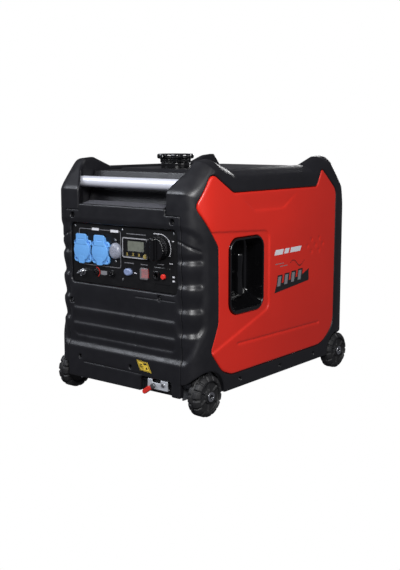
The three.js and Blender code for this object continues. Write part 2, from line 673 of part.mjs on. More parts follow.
// The rope: its turns round the pulley, then the straight run into the grip's stem.
function recoilRope() {
  const outer = PULLEY.radius + ROPE_RADIUS;
  const inner = PULLEY.radius - ROPE_RADIUS;
  const y = [GRIP_Y - ROPE_RADIUS, GRIP_Y + ROPE_RADIUS];
  const profile = [
    [inner, y[0]],
    [outer, y[0]],
    [outer, y[1]],
    [inner, y[1]],
  ];
  const turns = ring("y", [SHAFT_X, SHAFT_Z], profile, ROUND_SIDES);
  const end = GRIP_X - GRIP.radius - GRIP_STEM.solid - CUT;
  const run = rod("x", [GRIP_Y, GRIP.z], ROPE_RADIUS, SHAFT_X, end, TINY_SIDES);
  return turns.add(run);
}

function recoilPulley() {
  const flange = PULLEY.radius + 2 * ROPE_RADIUS;
  const groove = PULLEY.radius - ROPE_RADIUS - PULLEY.clearance;
  const bore = RECOIL.post + RUN;
  const cheek = (PULLEY.width - 2 * ROPE_RADIUS) / 2 - GAP;
  const front = PULLEY_FRONT;
  const rear = PULLEY_FRONT + PULLEY.width;
  const profile = [
    [bore, front],
    [flange, front],
    [flange, front + cheek],
    [groove, front + cheek],
    [groove, rear - cheek],
    [flange, rear - cheek],
    [flange, rear],
    [bore, rear],
  ];
  return ring("y", [SHAFT_X, SHAFT_Z], profile, ROUND_SIDES);
}

// The starter's cup, with a post for the pulley and three feet on the crankcase.
function recoilHousing() {
  const { radius, wall, front, rear, post, postProud } = RECOIL;
  const centre = [SHAFT_X, SHAFT_Z];
  const postEnd = PULLEY_FRONT + PULLEY.width + postProud;
  const cup = turned("y", centre, [
    [0, front],
    [radius, front],
    [radius, rear],
    [radius - wall, rear],
    [radius - wall, front + wall],
    [post, front + wall],
    [post, postEnd],
    [0, postEnd],
  ]);
  const exit = rod("x", [GRIP_Y, GRIP.z], ROPE_HOLE, SHAFT_X, SHAFT_X + radius + CUT, TINY_SIDES);
  return joinAll([cup, ...RECOIL_FOOT.angles.map(recoilFoot)]).subtract(exit);
}

// One foot of the cup: an arm out from its rim and a leg back to the crankcase.
function recoilFoot(degrees) {
  const { radius, wall, rear } = RECOIL;
  const angle = THREE.MathUtils.degToRad(degrees);
  const at = (reach) => [SHAFT_X + reach * Math.cos(angle), SHAFT_Z + reach * Math.sin(angle)];
  const near = at(radius - wall / 2);
  const far = at(radius + RECOIL_FOOT.reach);
  const y = [rear - RECOIL_FOOT.depth, rear];
  const leg = rod("y", far, RECOIL_FOOT.radius, y[0], ENGINE.front - GAP, TINY_SIDES);
  return leg.add(bar(near, far, ...y, 2 * RECOIL_FOOT.radius));
}

// A flat bar between two points of the (x, z) plane, from one y to another.
function bar(from, to, low, high, width) {
  const along = new THREE.Vector2(to[0] - from[0], to[1] - from[1]).setLength(width / 2);
  const corners = [
    [from[0] + along.y, from[1] - along.x],
    [to[0] + along.y, to[1] - along.x],
    [to[0] - along.y, to[1] + along.x],
    [from[0] - along.y, from[1] + along.x],
  ];
  return prism("y", outline(corners), low, high);
}

// ---------------------------------------------------------------- fuel system

function fuelTank() {
  const { halfWidth, front, rear, low, high, corner } = TANK;
  const view = outline(rectangle([front, rear], [low, high], corner));
  const neck = rod("z", [0, NECK.y], NECK.radius, high - CUT, CAP.low - PLUG.thickness - 2 * GAP);
  const bore = rod("z", [0, NECK.y], NECK.bore, high + NECK.floor, CAP.top);
  return prism("x", view, -halfWidth, halfWidth).add(neck).subtract(bore);
}

// The cap's gasket plate and the spigot that drops into the neck.
function fuelCapPlug() {
  const { flange, thickness, drop } = PLUG;
  const spigot = NECK.bore - PLUG.clearance;
  const top = CAP.low - GAP;
  return turned("z", [0, NECK.y], [
    [0, top - thickness - drop],
    [spigot, top - thickness - drop],
    [spigot, top - thickness],
    [flange, top - thickness],
    [flange, top],
    [CAP.stem, top],
    [CAP.stem, CAP.low + CAP.socket],
    [0, CAP.low + CAP.socket],
  ]);
}

// The cap's lobed knob, turning on the plug's stem.
function fuelCapKnob() {
  const { skirt, radius, low, top, stem } = CAP;
  const centre = [0, NECK.y];
  const body = rod("z", centre, skirt, low, top);
  const grips = Array.from({ length: LOBES.count }, (_, i) => {
    const angle = ((i + 0.5) / LOBES.count) * 2 * Math.PI;
    const reach = radius - LOBES.radius;
    const place = [reach * Math.cos(angle), NECK.y + reach * Math.sin(angle)];
    return rod("z", place, LOBES.radius, low + LOBES.inset, top - LOBES.inset, SMALL_SIDES);
  });
  const socket = rod("z", centre, stem + RUN, low - CUT, low + CAP.socket + RUN);
  return joinAll([body, ...grips]).subtract(socket);
}

// ---------------------------------------------------------------- engine and alternator

function engineCradle() {
  const { wall, halfWidth, hole, inset, foot } = CRADLE;
  const x = [SHAFT_X - halfWidth, SHAFT_X + halfWidth];
  const top = ENGINE.low - GAP;
  const y = [ENGINE.front + inset, ENGINE.rear - inset];
  const outside = block(x, y, [FLOOR_Z, top]);
  const inside = block([x[0] + wall, x[1] - wall], [y[0] - CUT, y[1] + CUT], [0, top - wall]);
  const feet = [-1, 1].map((sign) => {
    const from = SHAFT_X + sign * (halfWidth - CUT);
    const to = SHAFT_X + sign * (halfWidth + foot);
    return block([from, to].sort((a, b) => a - b), y, [FLOOR_Z, FLOOR_Z + wall]);
  });
  const middle = [(y[0] + y[1]) / 2, (FLOOR_Z + top) / 2];
  const holes = rod("x", middle, hole, x[0] - CUT, x[1] + CUT, SMALL_SIDES);
  return joinAll([outside.subtract(inside), ...feet]).subtract(holes);
}

function engineCrankcase() {
  const { left, right, front, rear, low, high, corner } = ENGINE;
  const view = outline(rectangle([left, right], [low, high], corner));
  const bossRadius = STATOR.bore - STATOR.clearance;
  const bossFront = STATOR.front + STATOR.setback;
  const boss = rod("y", [SHAFT_X, SHAFT_Z], bossRadius, bossFront, front + CUT);
  const bore = rod("y", [SHAFT_X, SHAFT_Z], SHAFT.radius + RUN, STATOR.front, rear + CUT);
  const dip = [DIPSTICK.y, DIPSTICK.z];
  const dipEnd = left + DIPSTICK.reach + DIPSTICK.clearance;
  const dipBore = rod("x", dip, DIPSTICK.rod + 2 * RUN, left - CUT, dipEnd, TINY_SIDES);
  return prism("y", view, front, rear).add(boss).subtract(bore).subtract(dipBore);
}

// A finned cylinder head lying on its side, left of the crankcase.
function cylinderHead() {
  const { length, front, rear, low, high, fins, fin, core } = HEAD;
  const right = ENGINE.left - GAP;
  const left = right - length;
  const middle = block([left, right], [front + core, rear - core], [low + core, high - core]);
  const pitch = (length - fin) / (fins - 1);
  const plates = Array.from({ length: fins }, (_, i) => {
    const x = left + i * pitch;
    return block([x, x + fin], [front, rear], [low, high]);
  });
  const pad = block(
    [CARBURETTOR.left + CARBURETTOR_PAD.side, CARBURETTOR.right - CARBURETTOR_PAD.side],
    [rear - core - CUT, rear],
    [CARBURETTOR.low + CARBURETTOR_PAD.end, CARBURETTOR.high - CARBURETTOR_PAD.end],
  );
  return joinAll([middle, ...plates, pad]);
}

function sparkPlug() {
  const { hex, hexLength, cap, length, z } = PLUG_SPARK;
  const base = ENGINE.left - GAP - HEAD.length - GAP;
  const centre = [(HEAD.front + HEAD.rear) / 2, z];
  const nut = rod("x", centre, hex, base - hexLength, base, HEX_SIDES);
  return nut.add(rod("x", centre, cap, base - length, base - hexLength + CUT, SMALL_SIDES));
}

function oilDipstick() {
  const { y, z, knob, knobLength, rod: radius, reach } = DIPSTICK;
  const face = ENGINE.left - GAP;
  const grip = rod("x", [y, z], knob, face - knobLength, face, SMALL_SIDES);
  return grip.add(rod("x", [y, z], radius, face - CUT, face + reach, TINY_SIDES));
}

function crankshaft() {
  return rod("y", [SHAFT_X, SHAFT_Z], SHAFT.radius, SHAFT.front, SHAFT.rear, SMALL_SIDES);
}

// The outer rotor: a cup whose wall runs round the stator.
function alternatorRotor() {
  const { radius, wall, web, front, rear } = ROTOR;
  const bore = SHAFT.radius + GAP;
  const profile = [
    [bore, front],
    [radius, front],
    [radius, rear],
    [radius - wall, rear],
    [radius - wall, front + web],
    [bore, front + web],
  ];
  return ring("y", [SHAFT_X, SHAFT_Z], profile, ROUND_SIDES);
}

function alternatorStator() {
  const profile = [
    [STATOR.bore, STATOR.front],
    [STATOR_RADIUS, STATOR.front],
    [STATOR_RADIUS, ENGINE.front - GAP],
    [STATOR.bore, ENGINE.front - GAP],
  ];
  return ring("y", [SHAFT_X, SHAFT_Z], profile, ROUND_SIDES);
}

// A blower fan: a disc with straight blades, in front of the rotor.
function coolingFan() {
  const { radius, hub, disc, blades, front, depth, root, tip, blade } = FAN;
  const centre = [SHAFT_X, SHAFT_Z];
  const back = front + depth;
  const plate = rod("y", centre, radius, back - disc, back);
  const boss = rod("y", centre, hub, front, back, SMALL_SIDES);
  const vanes = Array.from({ length: blades }, (_, i) => {
    const angle = (i / blades) * 2 * Math.PI;
    const at = (reach) => [SHAFT_X + reach * Math.cos(angle), SHAFT_Z + reach * Math.sin(angle)];
    return bar(at(hub - root), at(radius - tip), front + blade, back - CUT, blade);
  });
  const bore = rod("y", centre, SHAFT.radius + GAP, front - CUT, back + CUT, SMALL_SIDES);
  return joinAll([plate, boss, ...vanes]).subtract(bore);
}

function carburettor() {
  const { left, right, low, high, length, flange: rim } = CARBURETTOR;
  const near = HEAD.rear + GAP;
  const body = block([left + rim, right - rim], [near, near + length], [low + rim, high - rim]);
  const flange = block([left, right], [near, near + rim], [low, high]);
  const middle = [(left + right) / 2, near + (length + rim) / 2];
  const { radius, drop, rise } = FLOAT_BOWL;
  const bowl = rod("z", middle, radius, low - drop, low + rise, MEDIUM_SIDES);
  return joinAll([body, flange, bowl]);
}

function airFilterBox() {
  const { left, right, length, low, high, corner } = FILTER;
  const near = HEAD.rear + CARBURETTOR.length + 2 * GAP;
  const view = outline(rectangle([left, right], [low, high], corner));
  return prism("y", view, near, near + length);
}

// The muffler, its neck from the crankcase and its tail pipe, welded together.
function muffler() {
  const { radius, x, y, z, halfLength, neck, neckRise, round } = MUFFLER;
  const can = turned("x", [y, z], [
    [0, x - halfLength],
    [radius - round, x - halfLength],
    [radius, x - halfLength + round],
    [radius, x + halfLength - round],
    [radius - round, x + halfLength],
    [0, x + halfLength],
  ]);
  const inlet = rod("y", [x, z + neckRise], neck, ENGINE.rear + GAP, y, SMALL_SIDES);
  const end = REAR + TAIL_PIPE.proud;
  const pipe = rod("y", [TAIL_PIPE.x, z], TAIL_PIPE.radius, y, end, MEDIUM_SIDES);
  const bottom = y + radius + TAIL_PIPE.blind;
  const mouth = rod("y", [TAIL_PIPE.x, z], TAIL_PIPE.bore, bottom, end + CUT, MEDIUM_SIDES);
  return joinAll([can, inlet, pipe]).subtract(mouth);
}

function battery() {
  const { left, right, front, rear, high } = BATTERY;
  const { radius, inset, height } = BATTERY_POST;
  const body = block([left, right], [front, rear], [FLOOR_Z, high]);
  const posts = [front + inset, rear - inset].map((y) =>
    rod("z", [right - inset, y], radius, high - CUT, high + height, TINY_SIDES),
  );
  return joinAll([body, ...posts]);
}

// The inverter: a potted case with cooling fins on top.
function inverterModule() {
  const { left, right, front, rear, high, fins, fin, root } = INVERTER;
  const body = block([left, right], [front, rear], [FLOOR_Z, high - root]);
  const pitch = (rear - front - fin) / (fins - 1);
  const plates = Array.from({ length: fins }, (_, i) => {
    const y = front + i * pitch;
    return block([left, right], [y, y + fin], [high - root - CUT, high]);
  });
  return joinAll([body, ...plates]);
}

// ---------------------------------------------------------------- control panel

function plateHole({ x, z }, radius = PRESS_SHAFT + RUN, sides = SMALL_SIDES) {
  return rod("y", [x, z], radius, PLATE_FRONT - CUT, PLATE_BACK + CUT, sides);
}

// The plate that carries the sockets, the display and the switches.
function controlPlate() {
  const { halfWidth, low, high } = RECESS;
  const x = [PLATE_FIT - halfWidth, halfWidth - PLATE_FIT];
  const plate = block(x, [PLATE_FRONT, PLATE_BACK], [low + PLATE_FIT, high - PLATE_FIT]);
  const { half, proud, sideGap, endGap } = ROCKER_FRAME;
  const reach = [ROCKER.halfWidth + sideGap, ROCKER.halfHeight + endGap];
  const bezel = block(
    [ROCKER.x - half, ROCKER.x + half],
    [PLATE_FRONT - proud, PLATE_FRONT + CUT],
    [ROCKER.z - half - CUT, ROCKER.z + half + CUT],
  );
  const holes = [
    ...SOCKET.x.map((x) => plateHole({ x, z: SOCKET.z }, SOCKET_WELL.barrel + GAP, ROUND_SIDES)),
    ...[BREAKER, START, DC_BREAKER, SWITCH].map((place) => plateHole(place)),
    plateHole(DC_SOCKET, DC_SOCKET.barrel + GAP, ROUND_SIDES),
    block(
      [ROCKER.x - reach[0], ROCKER.x + reach[0]],
      [PLATE_FRONT - proud - CUT, PLATE_BACK + CUT],
      [ROCKER.z - reach[1], ROCKER.z + reach[1]],
    ),
  ];
  return holes.reduce((whole, hole) => whole.subtract(hole), plate.add(bezel));
}

// A household socket: flange, barrel behind the plate, round well and the two ears of its lid.
function socketBody(x) {
  const { z, half, rise, drop, flange } = SOCKET;
  const { barrel, bore, depth, floor } = SOCKET_WELL;
  const face = PLATE_FRONT - GAP - flange;
  const front = block([x - half, x + half], [face, PLATE_FRONT - GAP], [z - drop, z + rise]);
  const back = rod("y", [x, z], barrel, face + CUT, face + depth + floor);
  const well = rod("y", [x, z], bore, face - CUT, face + depth);
  const ears = [-1, 1].map((sign) => {
    const near = x + sign * (LID.halfBarrel + GAP);
    const far = near + sign * LID_EAR.thickness;
    return block(
      [near, far].sort((a, b) => a - b),
      [lidHingeY() - LID_EAR.halfHeight, PLATE_FRONT - GAP],
      [z + rise - CUT, LID.hingeZ + LID_EAR.halfHeight],
    );
  });
  return joinAll([front, back, ...ears]).subtract(well);
}

function lidHingeY() {
  return PLATE_FRONT - SOCKET.flange - GAP - LID.barrel - 2 * RUN;
}

// A round sprung lid with a hinge tab on top and a finger tab below.
function socketLid(x) {
  const { radius, thickness, hingeZ, barrel, halfBarrel, tab, tabZ } = LID;
  const back = PLATE_FRONT - SOCKET.flange - 2 * GAP;
  const y = [back - thickness, back];
  const disc = rod("y", [x, SOCKET.z], radius, ...y);
  const upper = block([x - halfBarrel, x + halfBarrel], y, [SOCKET.z, hingeZ]);
  const lower = block([x - tab, x + tab], y, [tabZ, SOCKET.z]);
  const hinge = rod("x", [lidHingeY(), hingeZ], barrel, x - halfBarrel, x + halfBarrel, SMALL_SIDES);
  return joinAll([disc, upper, lower, hinge]);
}

// A press button: a crowned cap in front of the plate on a shaft that passes through it.
function pressButton({ x, z, radius, proud }, travel, flatten = 1) {
  const base = PLATE_FRONT - travel - GAP;
  const front = PLATE_FRONT - proud;
  const cap = new THREE.LatheGeometry(
    [
      [0, front],
      [radius - PRESS_ROUND, front],
      [radius, front + PRESS_ROUND],
      [radius, base],
      [0, base],
    ].map(([r, y]) => new THREE.Vector2(r, y)),
    ROUND_SIDES,
  );
  cap.scale(1, 1, flatten).translate(x, 0, z);
  const shaft = rod("y", [x, z], PRESS_SHAFT, base - CUT, PLATE_BACK + PRESS_DEPTH, SMALL_SIDES);
  return solid(cap).add(shaft);
}

function displayModule() {
  const { left, right, low, high, proud } = DISPLAY;
  const front = PLATE_FRONT - proud;
  const bezel = block([left, right], [front, PLATE_FRONT - GAP], [low, high]);
  const recess = block(
    [SCREEN.left, SCREEN.right],
    [front - CUT, front + SCREEN.depth],
    [SCREEN.low, SCREEN.high],
  );
  const hole = rod(
    "y",
    [DISPLAY_BUTTON.x, DISPLAY_BUTTON.z],
    DISPLAY_BUTTON.radius + RUN,
    front - CUT,
    PLATE_FRONT,
    MEDIUM_SIDES,
  );
  return bezel.subtract(recess).subtract(hole);
}

function displayButton() {
  const { x, z, radius, proud, base } = DISPLAY_BUTTON;
  return rod("y", [x, z], radius, PLATE_FRONT - proud, PLATE_FRONT - base, MEDIUM_SIDES);
}

// The engine switch: a disc with a finger bar across it, on a shaft through the plate.
function engineSwitchKnob() {
  const { x, z, radius, proud, round, bar: barProud, barWidth, barInset } = SWITCH;
  const front = PLATE_FRONT - proud;
  const disc = turned("y", [x, z], [
    [0, front],
    [radius - round, front],
    [radius, front + round],
    [radius, PLATE_FRONT - GAP],
    [0, PLATE_FRONT - GAP],
  ]);
  const half = barWidth / 2;
  const reach = radius - barInset;
  const grip = block([x - half, x + half], [PLATE_FRONT - barProud, front + CUT], [z - reach, z + reach]);
  const shaft = rod("y", [x, z], PRESS_SHAFT, front, PLATE_BACK + PRESS_DEPTH, SMALL_SIDES);
  return joinAll([disc, grip, shaft]);
}

// A rocker whose two halves meet in a shallow vee; it rests with its upper half pressed in.
function economyRocker() {
  const { x, z, halfWidth, halfHeight, proud, heel, tilt } = ROCKER;
  const slope = 2 * halfHeight * tilt;
  const face = PLATE_FRONT - proud;
  const corners = [
    [face - slope, z - halfHeight],
    [PLATE_BACK, z - halfHeight + CUT],
    [PLATE_BACK + heel, z],
    [PLATE_BACK, z + halfHeight - CUT],
    [face + CUT, z + halfHeight],
    [face, z],
  ];
  return prism("x", outline(corners), x - halfWidth, x + halfWidth);
}

function dcSocket() {
  const { x, z, radius, barrel, bore, proud, depth, floor } = DC_SOCKET;
  const front = PLATE_FRONT - proud;
  const rim = rod("y", [x, z], radius, front, PLATE_FRONT - GAP);
  const body = rod("y", [x, z], barrel, front + CUT, front + depth + floor);
  return rim.add(body).subtract(rod("y", [x, z], bore, front - CUT, front + depth, MEDIUM_SIDES));
}

// An earth stud with its wing nut.
function groundTerminal() {
  const { x, z, stud, nut, nutProud, proud } = GROUND;
  const front = PLATE_FRONT - proud;
  const shank = rod("y", [x, z], stud, front, PLATE_FRONT - GAP, SMALL_SIDES);
  const body = rod("y", [x, z], nut, PLATE_FRONT - nutProud, PLATE_FRONT - GAP, HEX_SIDES);
  const y = [PLATE_FRONT - WING.front, PLATE_FRONT - WING.back];
  const wings = block([x - WING.reach, x + WING.reach], y, [z - WING.half, z + WING.half]);
  return joinAll([shank, body, wings]);
}

// A block that carries the two capped terminals for running two machines together.
function parallelTerminals() {
  const { x, z, radius, block: half, blockProud, proud } = PARALLEL;
  const y = [PLATE_FRONT - blockProud, PLATE_FRONT - GAP];
  const base = block([x[0] - half, x[1] + half], y, [z - half, z + half]);
  const caps = x.map((place) => rod("y", [place, z], radius, PLATE_FRONT - proud, y[1], MEDIUM_SIDES));
  return joinAll([base, ...caps]);
}

// ---------------------------------------------------------------- wheel lock

function brakeBracket() {
  const { left, right, low, high, thickness } = LOCK;
  const y = [LOCK_FACE, LOCK_FACE + thickness];
  const face = block([left, right], y, [low, high]);
  const heel = WHEEL_Y.front - BEAM.halfDepth - GAP;
  const sole = block([left, right], [y[0], heel], [TRAY_Z - GAP - thickness, TRAY_Z - GAP]);
  const pivot = rod("y", [PIVOT.x, PIVOT.z], LEVER.pin, FRONT - PIVOT.proud, y[1], SMALL_SIDES);
  return joinAll([face, sole, pivot]);
}

// A flat lever turning on the bracket's pin, with a round tip that the foot moves.
function brakeLever() {
  const { pin, boss, arm, width, tip: tipRadius, angle, thickness } = LEVER;
  const centre = [PIVOT.x, PIVOT.z];
  const y = [LOCK_FACE - GAP - thickness, LOCK_FACE - GAP];
  const tip = [centre[0] + arm * Math.cos(angle), centre[1] + arm * Math.sin(angle)];
  const hub = rod("y", centre, boss, ...y, SMALL_SIDES);
  const shank = bar(centre, tip, ...y, width);
  const end = rod("y", tip, tipRadius, ...y, SMALL_SIDES);
  const hole = rod("y", centre, pin + RUN, y[0] - CUT, y[1] + CUT, SMALL_SIDES);
  return joinAll([hub, shank, end]).subtract(hole);
}

// ---------------------------------------------------------------- materials and scene

const finish = (color, roughness, metalness = 0) => () =>
  new THREE.MeshStandardMaterial({ color, roughness, metalness });

const BLACK = finish(0x1b1c20, 0.45);
const RED = finish(0xc8281c, 0.35);
const GLOSS_BLACK = finish(0x08080a, 0.12);
const SILVER = finish(0xb9bcc6, 0.3, 0.9);
const ZINC = finish(0x9aa0a6, 0.4, 0.8);
const CAST = finish(0x8c8d8f, 0.55, 0.7);
const STEEL = finish(0x6f7276, 0.4, 0.9);
const COPPER = finish(0xa5633a, 0.45, 0.6);
const BLUE = finish(0x5a9bd5, 0.4);
const CLEAR_GREY = finish(0x8f93a3, 0.3);
const YELLOW = finish(0xd8b53a, 0.4);
const BLUE_GREY = finish(0x7f8bb0, 0.4);
const BUTTON_RED = finish(0xd8382c, 0.35);
const TANK_GREY = finish(0x3a3c40, 0.6);
const RUBBER = finish(0x151517, 0.75);
const CORD = finish(0x2c2d30, 0.8);

const generator = new THREE.Group();

function place(name, material, shape) {
  const { vertProperties, triVerts } = shape.getMesh();
  const geometry = new THREE.BufferGeometry();
  geometry.setAttribute("position", new THREE.BufferAttribute(vertProperties, 3));
  geometry.setIndex(new THREE.BufferAttribute(triVerts, 1));
  geometry.computeVertexNormals();
  const mesh = new THREE.Mesh(geometry, material());
  mesh.name = name;
  generator.add(mesh);
  return mesh;
}

// The same piece on the left side.
function placeMirrored(name, material, shape) {
  place(name, material, shape).scale.x = -1;
}

place("base_tray", BLACK, baseTray());
for (const [end, y] of Object.entries(WHEEL_Y)) {
  place(end + "_axle_beam", ZINC, axleBeam(y));
  place(end + "_axle", STEEL, axle(y));
  place("wheel_" + end + "_right", RUBBER, wheel(y));
  placeMirrored("wheel_" + end + "_left", RUBBER, wheel(y));
}

place("side_frame_right", BLACK, sideFrame());
placeMirrored("side_frame_left", BLACK, sideFrame());
place("side_panel_right", RED, sidePanelRight());
placeMirrored("side_panel_left", RED, sidePanelLeft());
placeMirrored("service_door", RED, serviceDoor());
placeMirrored("service_door_latch", BLACK, serviceDoorLatch());
place("front_panel", BLACK, frontPanel());
place("rear_panel", BLACK, rearPanel());
place("exhaust_grille", BLACK, exhaustGrille());
place("top_cover", BLACK, topCover());
place("handle_bar_front", SILVER, handleBar(HANDLE_Y.front));
place("handle_bar_rear", SILVER, handleBar(HANDLE_Y.rear));

place("recess_dish", GLOSS_BLACK, recessDish());
place("recoil_grip", BLACK, recoilGrip());
place("recoil_rope", CORD, recoilRope());
place("recoil_pulley", TANK_GREY, recoilPulley());
place("recoil_housing", BLACK, recoilHousing());

place("fuel_tank", TANK_GREY, fuelTank());
place("fuel_cap_plug", ZINC, fuelCapPlug());
place("fuel_cap_knob", BLACK, fuelCapKnob());

place("engine_cradle", STEEL, engineCradle());
place("engine_crankcase", CAST, engineCrankcase());
place("cylinder_head", CAST, cylinderHead());
place("spark_plug", ZINC, sparkPlug());
place("oil_dipstick", YELLOW, oilDipstick());
place("crankshaft", STEEL, crankshaft());
place("alternator_rotor", STEEL, alternatorRotor());
place("alternator_stator", COPPER, alternatorStator());
place("cooling_fan", TANK_GREY, coolingFan());
place("carburettor", CAST, carburettor());
place("air_filter_box", BLACK, airFilterBox());
place("muffler", STEEL, muffler());
place("battery", BLACK, battery());
place("inverter_module", CAST, inverterModule());

place("control_plate", BLACK, controlPlate());
SOCKET.x.forEach((x, i) => {
  place("socket_body_" + (i + 1), BLUE, socketBody(x));
  place("socket_lid_" + (i + 1), BLUE, socketLid(x));
});
place("ac_breaker_button", CLEAR_GREY, pressButton(BREAKER, 3));
place("display_module", BLACK, displayModule());
place("display_button", YELLOW, displayButton());
place("engine_switch_knob", BLACK, engineSwitchKnob());
place("start_button", BLUE_GREY, pressButton(START, 2.5, START.flatten));
place("economy_rocker", BUTTON_RED, economyRocker());
place("dc_socket", BLACK, dcSocket());
place("dc_breaker_button", BUTTON_RED, pressButton(DC_BREAKER, 2.5));
place("ground_terminal", ZINC, groundTerminal());
place("parallel_terminals", BLACK, parallelTerminals());

place("brake_bracket", ZINC, brakeBracket());
place("brake_lever", BUTTON_RED, brakeLever());

export default generator;
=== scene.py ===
# Looks of an inverter generator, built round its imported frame.
# Sizes in this script are millimetres, and MM turns them into Blender's metres.
# +Z is up, -Y is the control side and +X is the recoil side.

import json
import math

import bpy
import numpy as np
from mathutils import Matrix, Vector


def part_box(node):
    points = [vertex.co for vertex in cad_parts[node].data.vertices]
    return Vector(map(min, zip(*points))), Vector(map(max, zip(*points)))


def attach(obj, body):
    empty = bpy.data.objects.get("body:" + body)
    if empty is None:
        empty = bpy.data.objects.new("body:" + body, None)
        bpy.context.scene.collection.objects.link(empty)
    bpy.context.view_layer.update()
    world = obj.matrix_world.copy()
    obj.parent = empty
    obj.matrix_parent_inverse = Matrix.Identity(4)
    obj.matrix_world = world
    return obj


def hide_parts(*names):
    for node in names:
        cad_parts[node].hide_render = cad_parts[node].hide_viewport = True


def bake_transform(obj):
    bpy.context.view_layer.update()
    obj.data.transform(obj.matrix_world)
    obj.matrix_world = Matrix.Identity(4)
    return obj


MM = 0.001

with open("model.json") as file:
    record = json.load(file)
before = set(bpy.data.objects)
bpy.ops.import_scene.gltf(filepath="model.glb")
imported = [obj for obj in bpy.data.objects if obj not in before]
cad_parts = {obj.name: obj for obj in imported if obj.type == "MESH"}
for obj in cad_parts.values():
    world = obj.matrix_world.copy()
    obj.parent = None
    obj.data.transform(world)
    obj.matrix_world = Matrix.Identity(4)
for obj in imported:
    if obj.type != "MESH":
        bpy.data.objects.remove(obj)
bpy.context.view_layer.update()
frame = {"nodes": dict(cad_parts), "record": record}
scene = bpy.context.scene

# ---------------------------------------------------------------- camera


def make_camera():
    data = bpy.data.cameras.new("camera")
    data.sensor_width = 36
    data.lens = 57.4
    data.shift_y = -0.0249
    camera = bpy.data.objects.new("camera", data)
    scene.collection.objects.link(camera)
    camera.location = (1.2063, -1.5573, 0.5309)
    aim = Vector((0, -0.0299, 0.240))
    camera.rotation_euler = (aim - camera.location).to_track_quat("-Z", "Y").to_euler()
    scene.camera = camera


make_camera()

# ---------------------------------------------------------------- places taken from the frame


def extents(node):
    """Lowest and highest corner of a CAD node, in millimetres."""
    low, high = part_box(node)
    return np.array(low) / MM, np.array(high) / MM


SIDE = extents("side_panel_right")[1][0]
FRONT = extents("front_panel")[0][1]
REAR = extents("rear_panel")[1][1]
GUARD_INNER = extents("top_cover")[1][0] + 0.3
SEAM = GUARD_INNER + 8
SKIRT_Z = extents("side_frame_right")[0][2]
PEAK_Z = extents("side_frame_right")[1][2]
SHELF_Z = extents("front_panel")[1][2]
DECK_Z = extents("top_cover")[1][2]
PLATE_Y = extents("control_plate")[0][1] + 2

CHEEK_Z = 424
DIP_Z = 467
WALL = 5
PANEL_WALL = 3.4
CHAMFER = (24, 16)
CHEEK_FLARE = 28
CHEEK_LENGTH = 46
SEAM_GAP = 0.6
SHELF_DEPTH = 56
DECK_SLOPE = 20
LAP = 12
SHEET = 4
ARCH_CLEARANCE = 6.5
PAST = 30  # how far an outline runs past the shell

# ---------------------------------------------------------------- fields
# A field gives each point's distance outside a surface, and is negative inside it.


def ease(low, high, value):
    """0 below low, 1 above high, and a smooth rise between them."""
    share = np.clip((value - low) / (high - low), 0, 1)
    return share * share * (3 - 2 * share)


def within(a, b, blend=0.0):
    """Inside both fields, with the edge between them rounded."""
    if not blend:
        return np.maximum(a, b)
    lap = np.maximum(blend - abs(a - b), 0) / blend
    return np.maximum(a, b) + lap * lap * blend / 4


def union(a, b, blend=0.0):
    return -within(-a, -b, blend)


def minus(a, b, blend=0.0):
    return within(a, -b, blend)


def span(value, low, high):
    return abs(value - (low + high) / 2) - (high - low) / 2


def round_rect(u, v, low, high, radius):
    a = abs(u - (low[0] + high[0]) / 2) - (high[0] - low[0]) / 2 + radius
    b = abs(v - (low[1] + high[1]) / 2) - (high[1] - low[1]) / 2 + radius
    corner = np.sqrt(np.maximum(a, 0) ** 2 + np.maximum(b, 0) ** 2)
    return corner + np.minimum(np.maximum(a, b), 0) - radius


def disc(u, v, centre, radius):
    return np.sqrt((u - centre[0]) ** 2 + (v - centre[1]) ** 2) - radius


def curve(start, pull, end, steps=8):
    """Points of a quadratic curve."""
    points = []
    for i in range(steps + 1):
        t = i / steps
        weights = ((1 - t) ** 2, 2 * t * (1 - t), t * t)
        points.append(tuple(sum(w * p[k] for w, p in zip(weights, (start, pull, end))) for k in (0, 1)))
    return points


def rounded(corners, grow=0.0, steps=6):
    """Points of an outline through corners (u, v, radius), anticlockwise, moved out by grow."""
    here = [np.array(c[:2], float) for c in corners]
    edges = []
    for i, corner in enumerate(here):
        along = here[(i + 1) % len(here)] - corner
        along /= np.linalg.norm(along)
        edges.append((along, along[1] * corner[0] - along[0] * corner[1] + grow))
    moved = []
    for i in range(len(here)):
        (a, at), (b, bt) = edges[i - 1], edges[i]
        cross = a[0] * b[1] - a[1] * b[0]
        moved.append((bt * a - at * b) / cross)
    points = []
    for i, corner in enumerate(moved):
        radius = corners[i][2] if len(corners[i]) > 2 else 0
        before, after = moved[i - 1] - corner, moved[(i + 1) % len(moved)] - corner
        start = corner + before / np.linalg.norm(before) * radius
        end = corner + after / np.linalg.norm(after) * radius
        points += curve(start, corner, end, steps) if radius else [tuple(corner)]
    return points


def polygon(u, v, points):
    """Distance outside a closed outline."""
    best = np.full(np.broadcast(u, v).shape, np.inf)
    inside = np.zeros(best.shape, bool)
    for (u0, v0), (u1, v1) in zip(points, points[1:] + points[:1]):
        du, dv = u1 - u0, v1 - v0
        length = du * du + dv * dv
        if length < 1e-12:
            continue
        t = np.clip(((u - u0) * du + (v - v0) * dv) / length, 0, 1)
        best = np.minimum(best, (u - u0 - t * du) ** 2 + (v - v0 - t * dv) ** 2)
        if dv:
            crosses = (v0 <= v) != (v1 <= v)
            inside ^= crosses & (u < u0 + (v - v0) * du / dv)
    return np.where(inside, -1, 1) * np.sqrt(best)


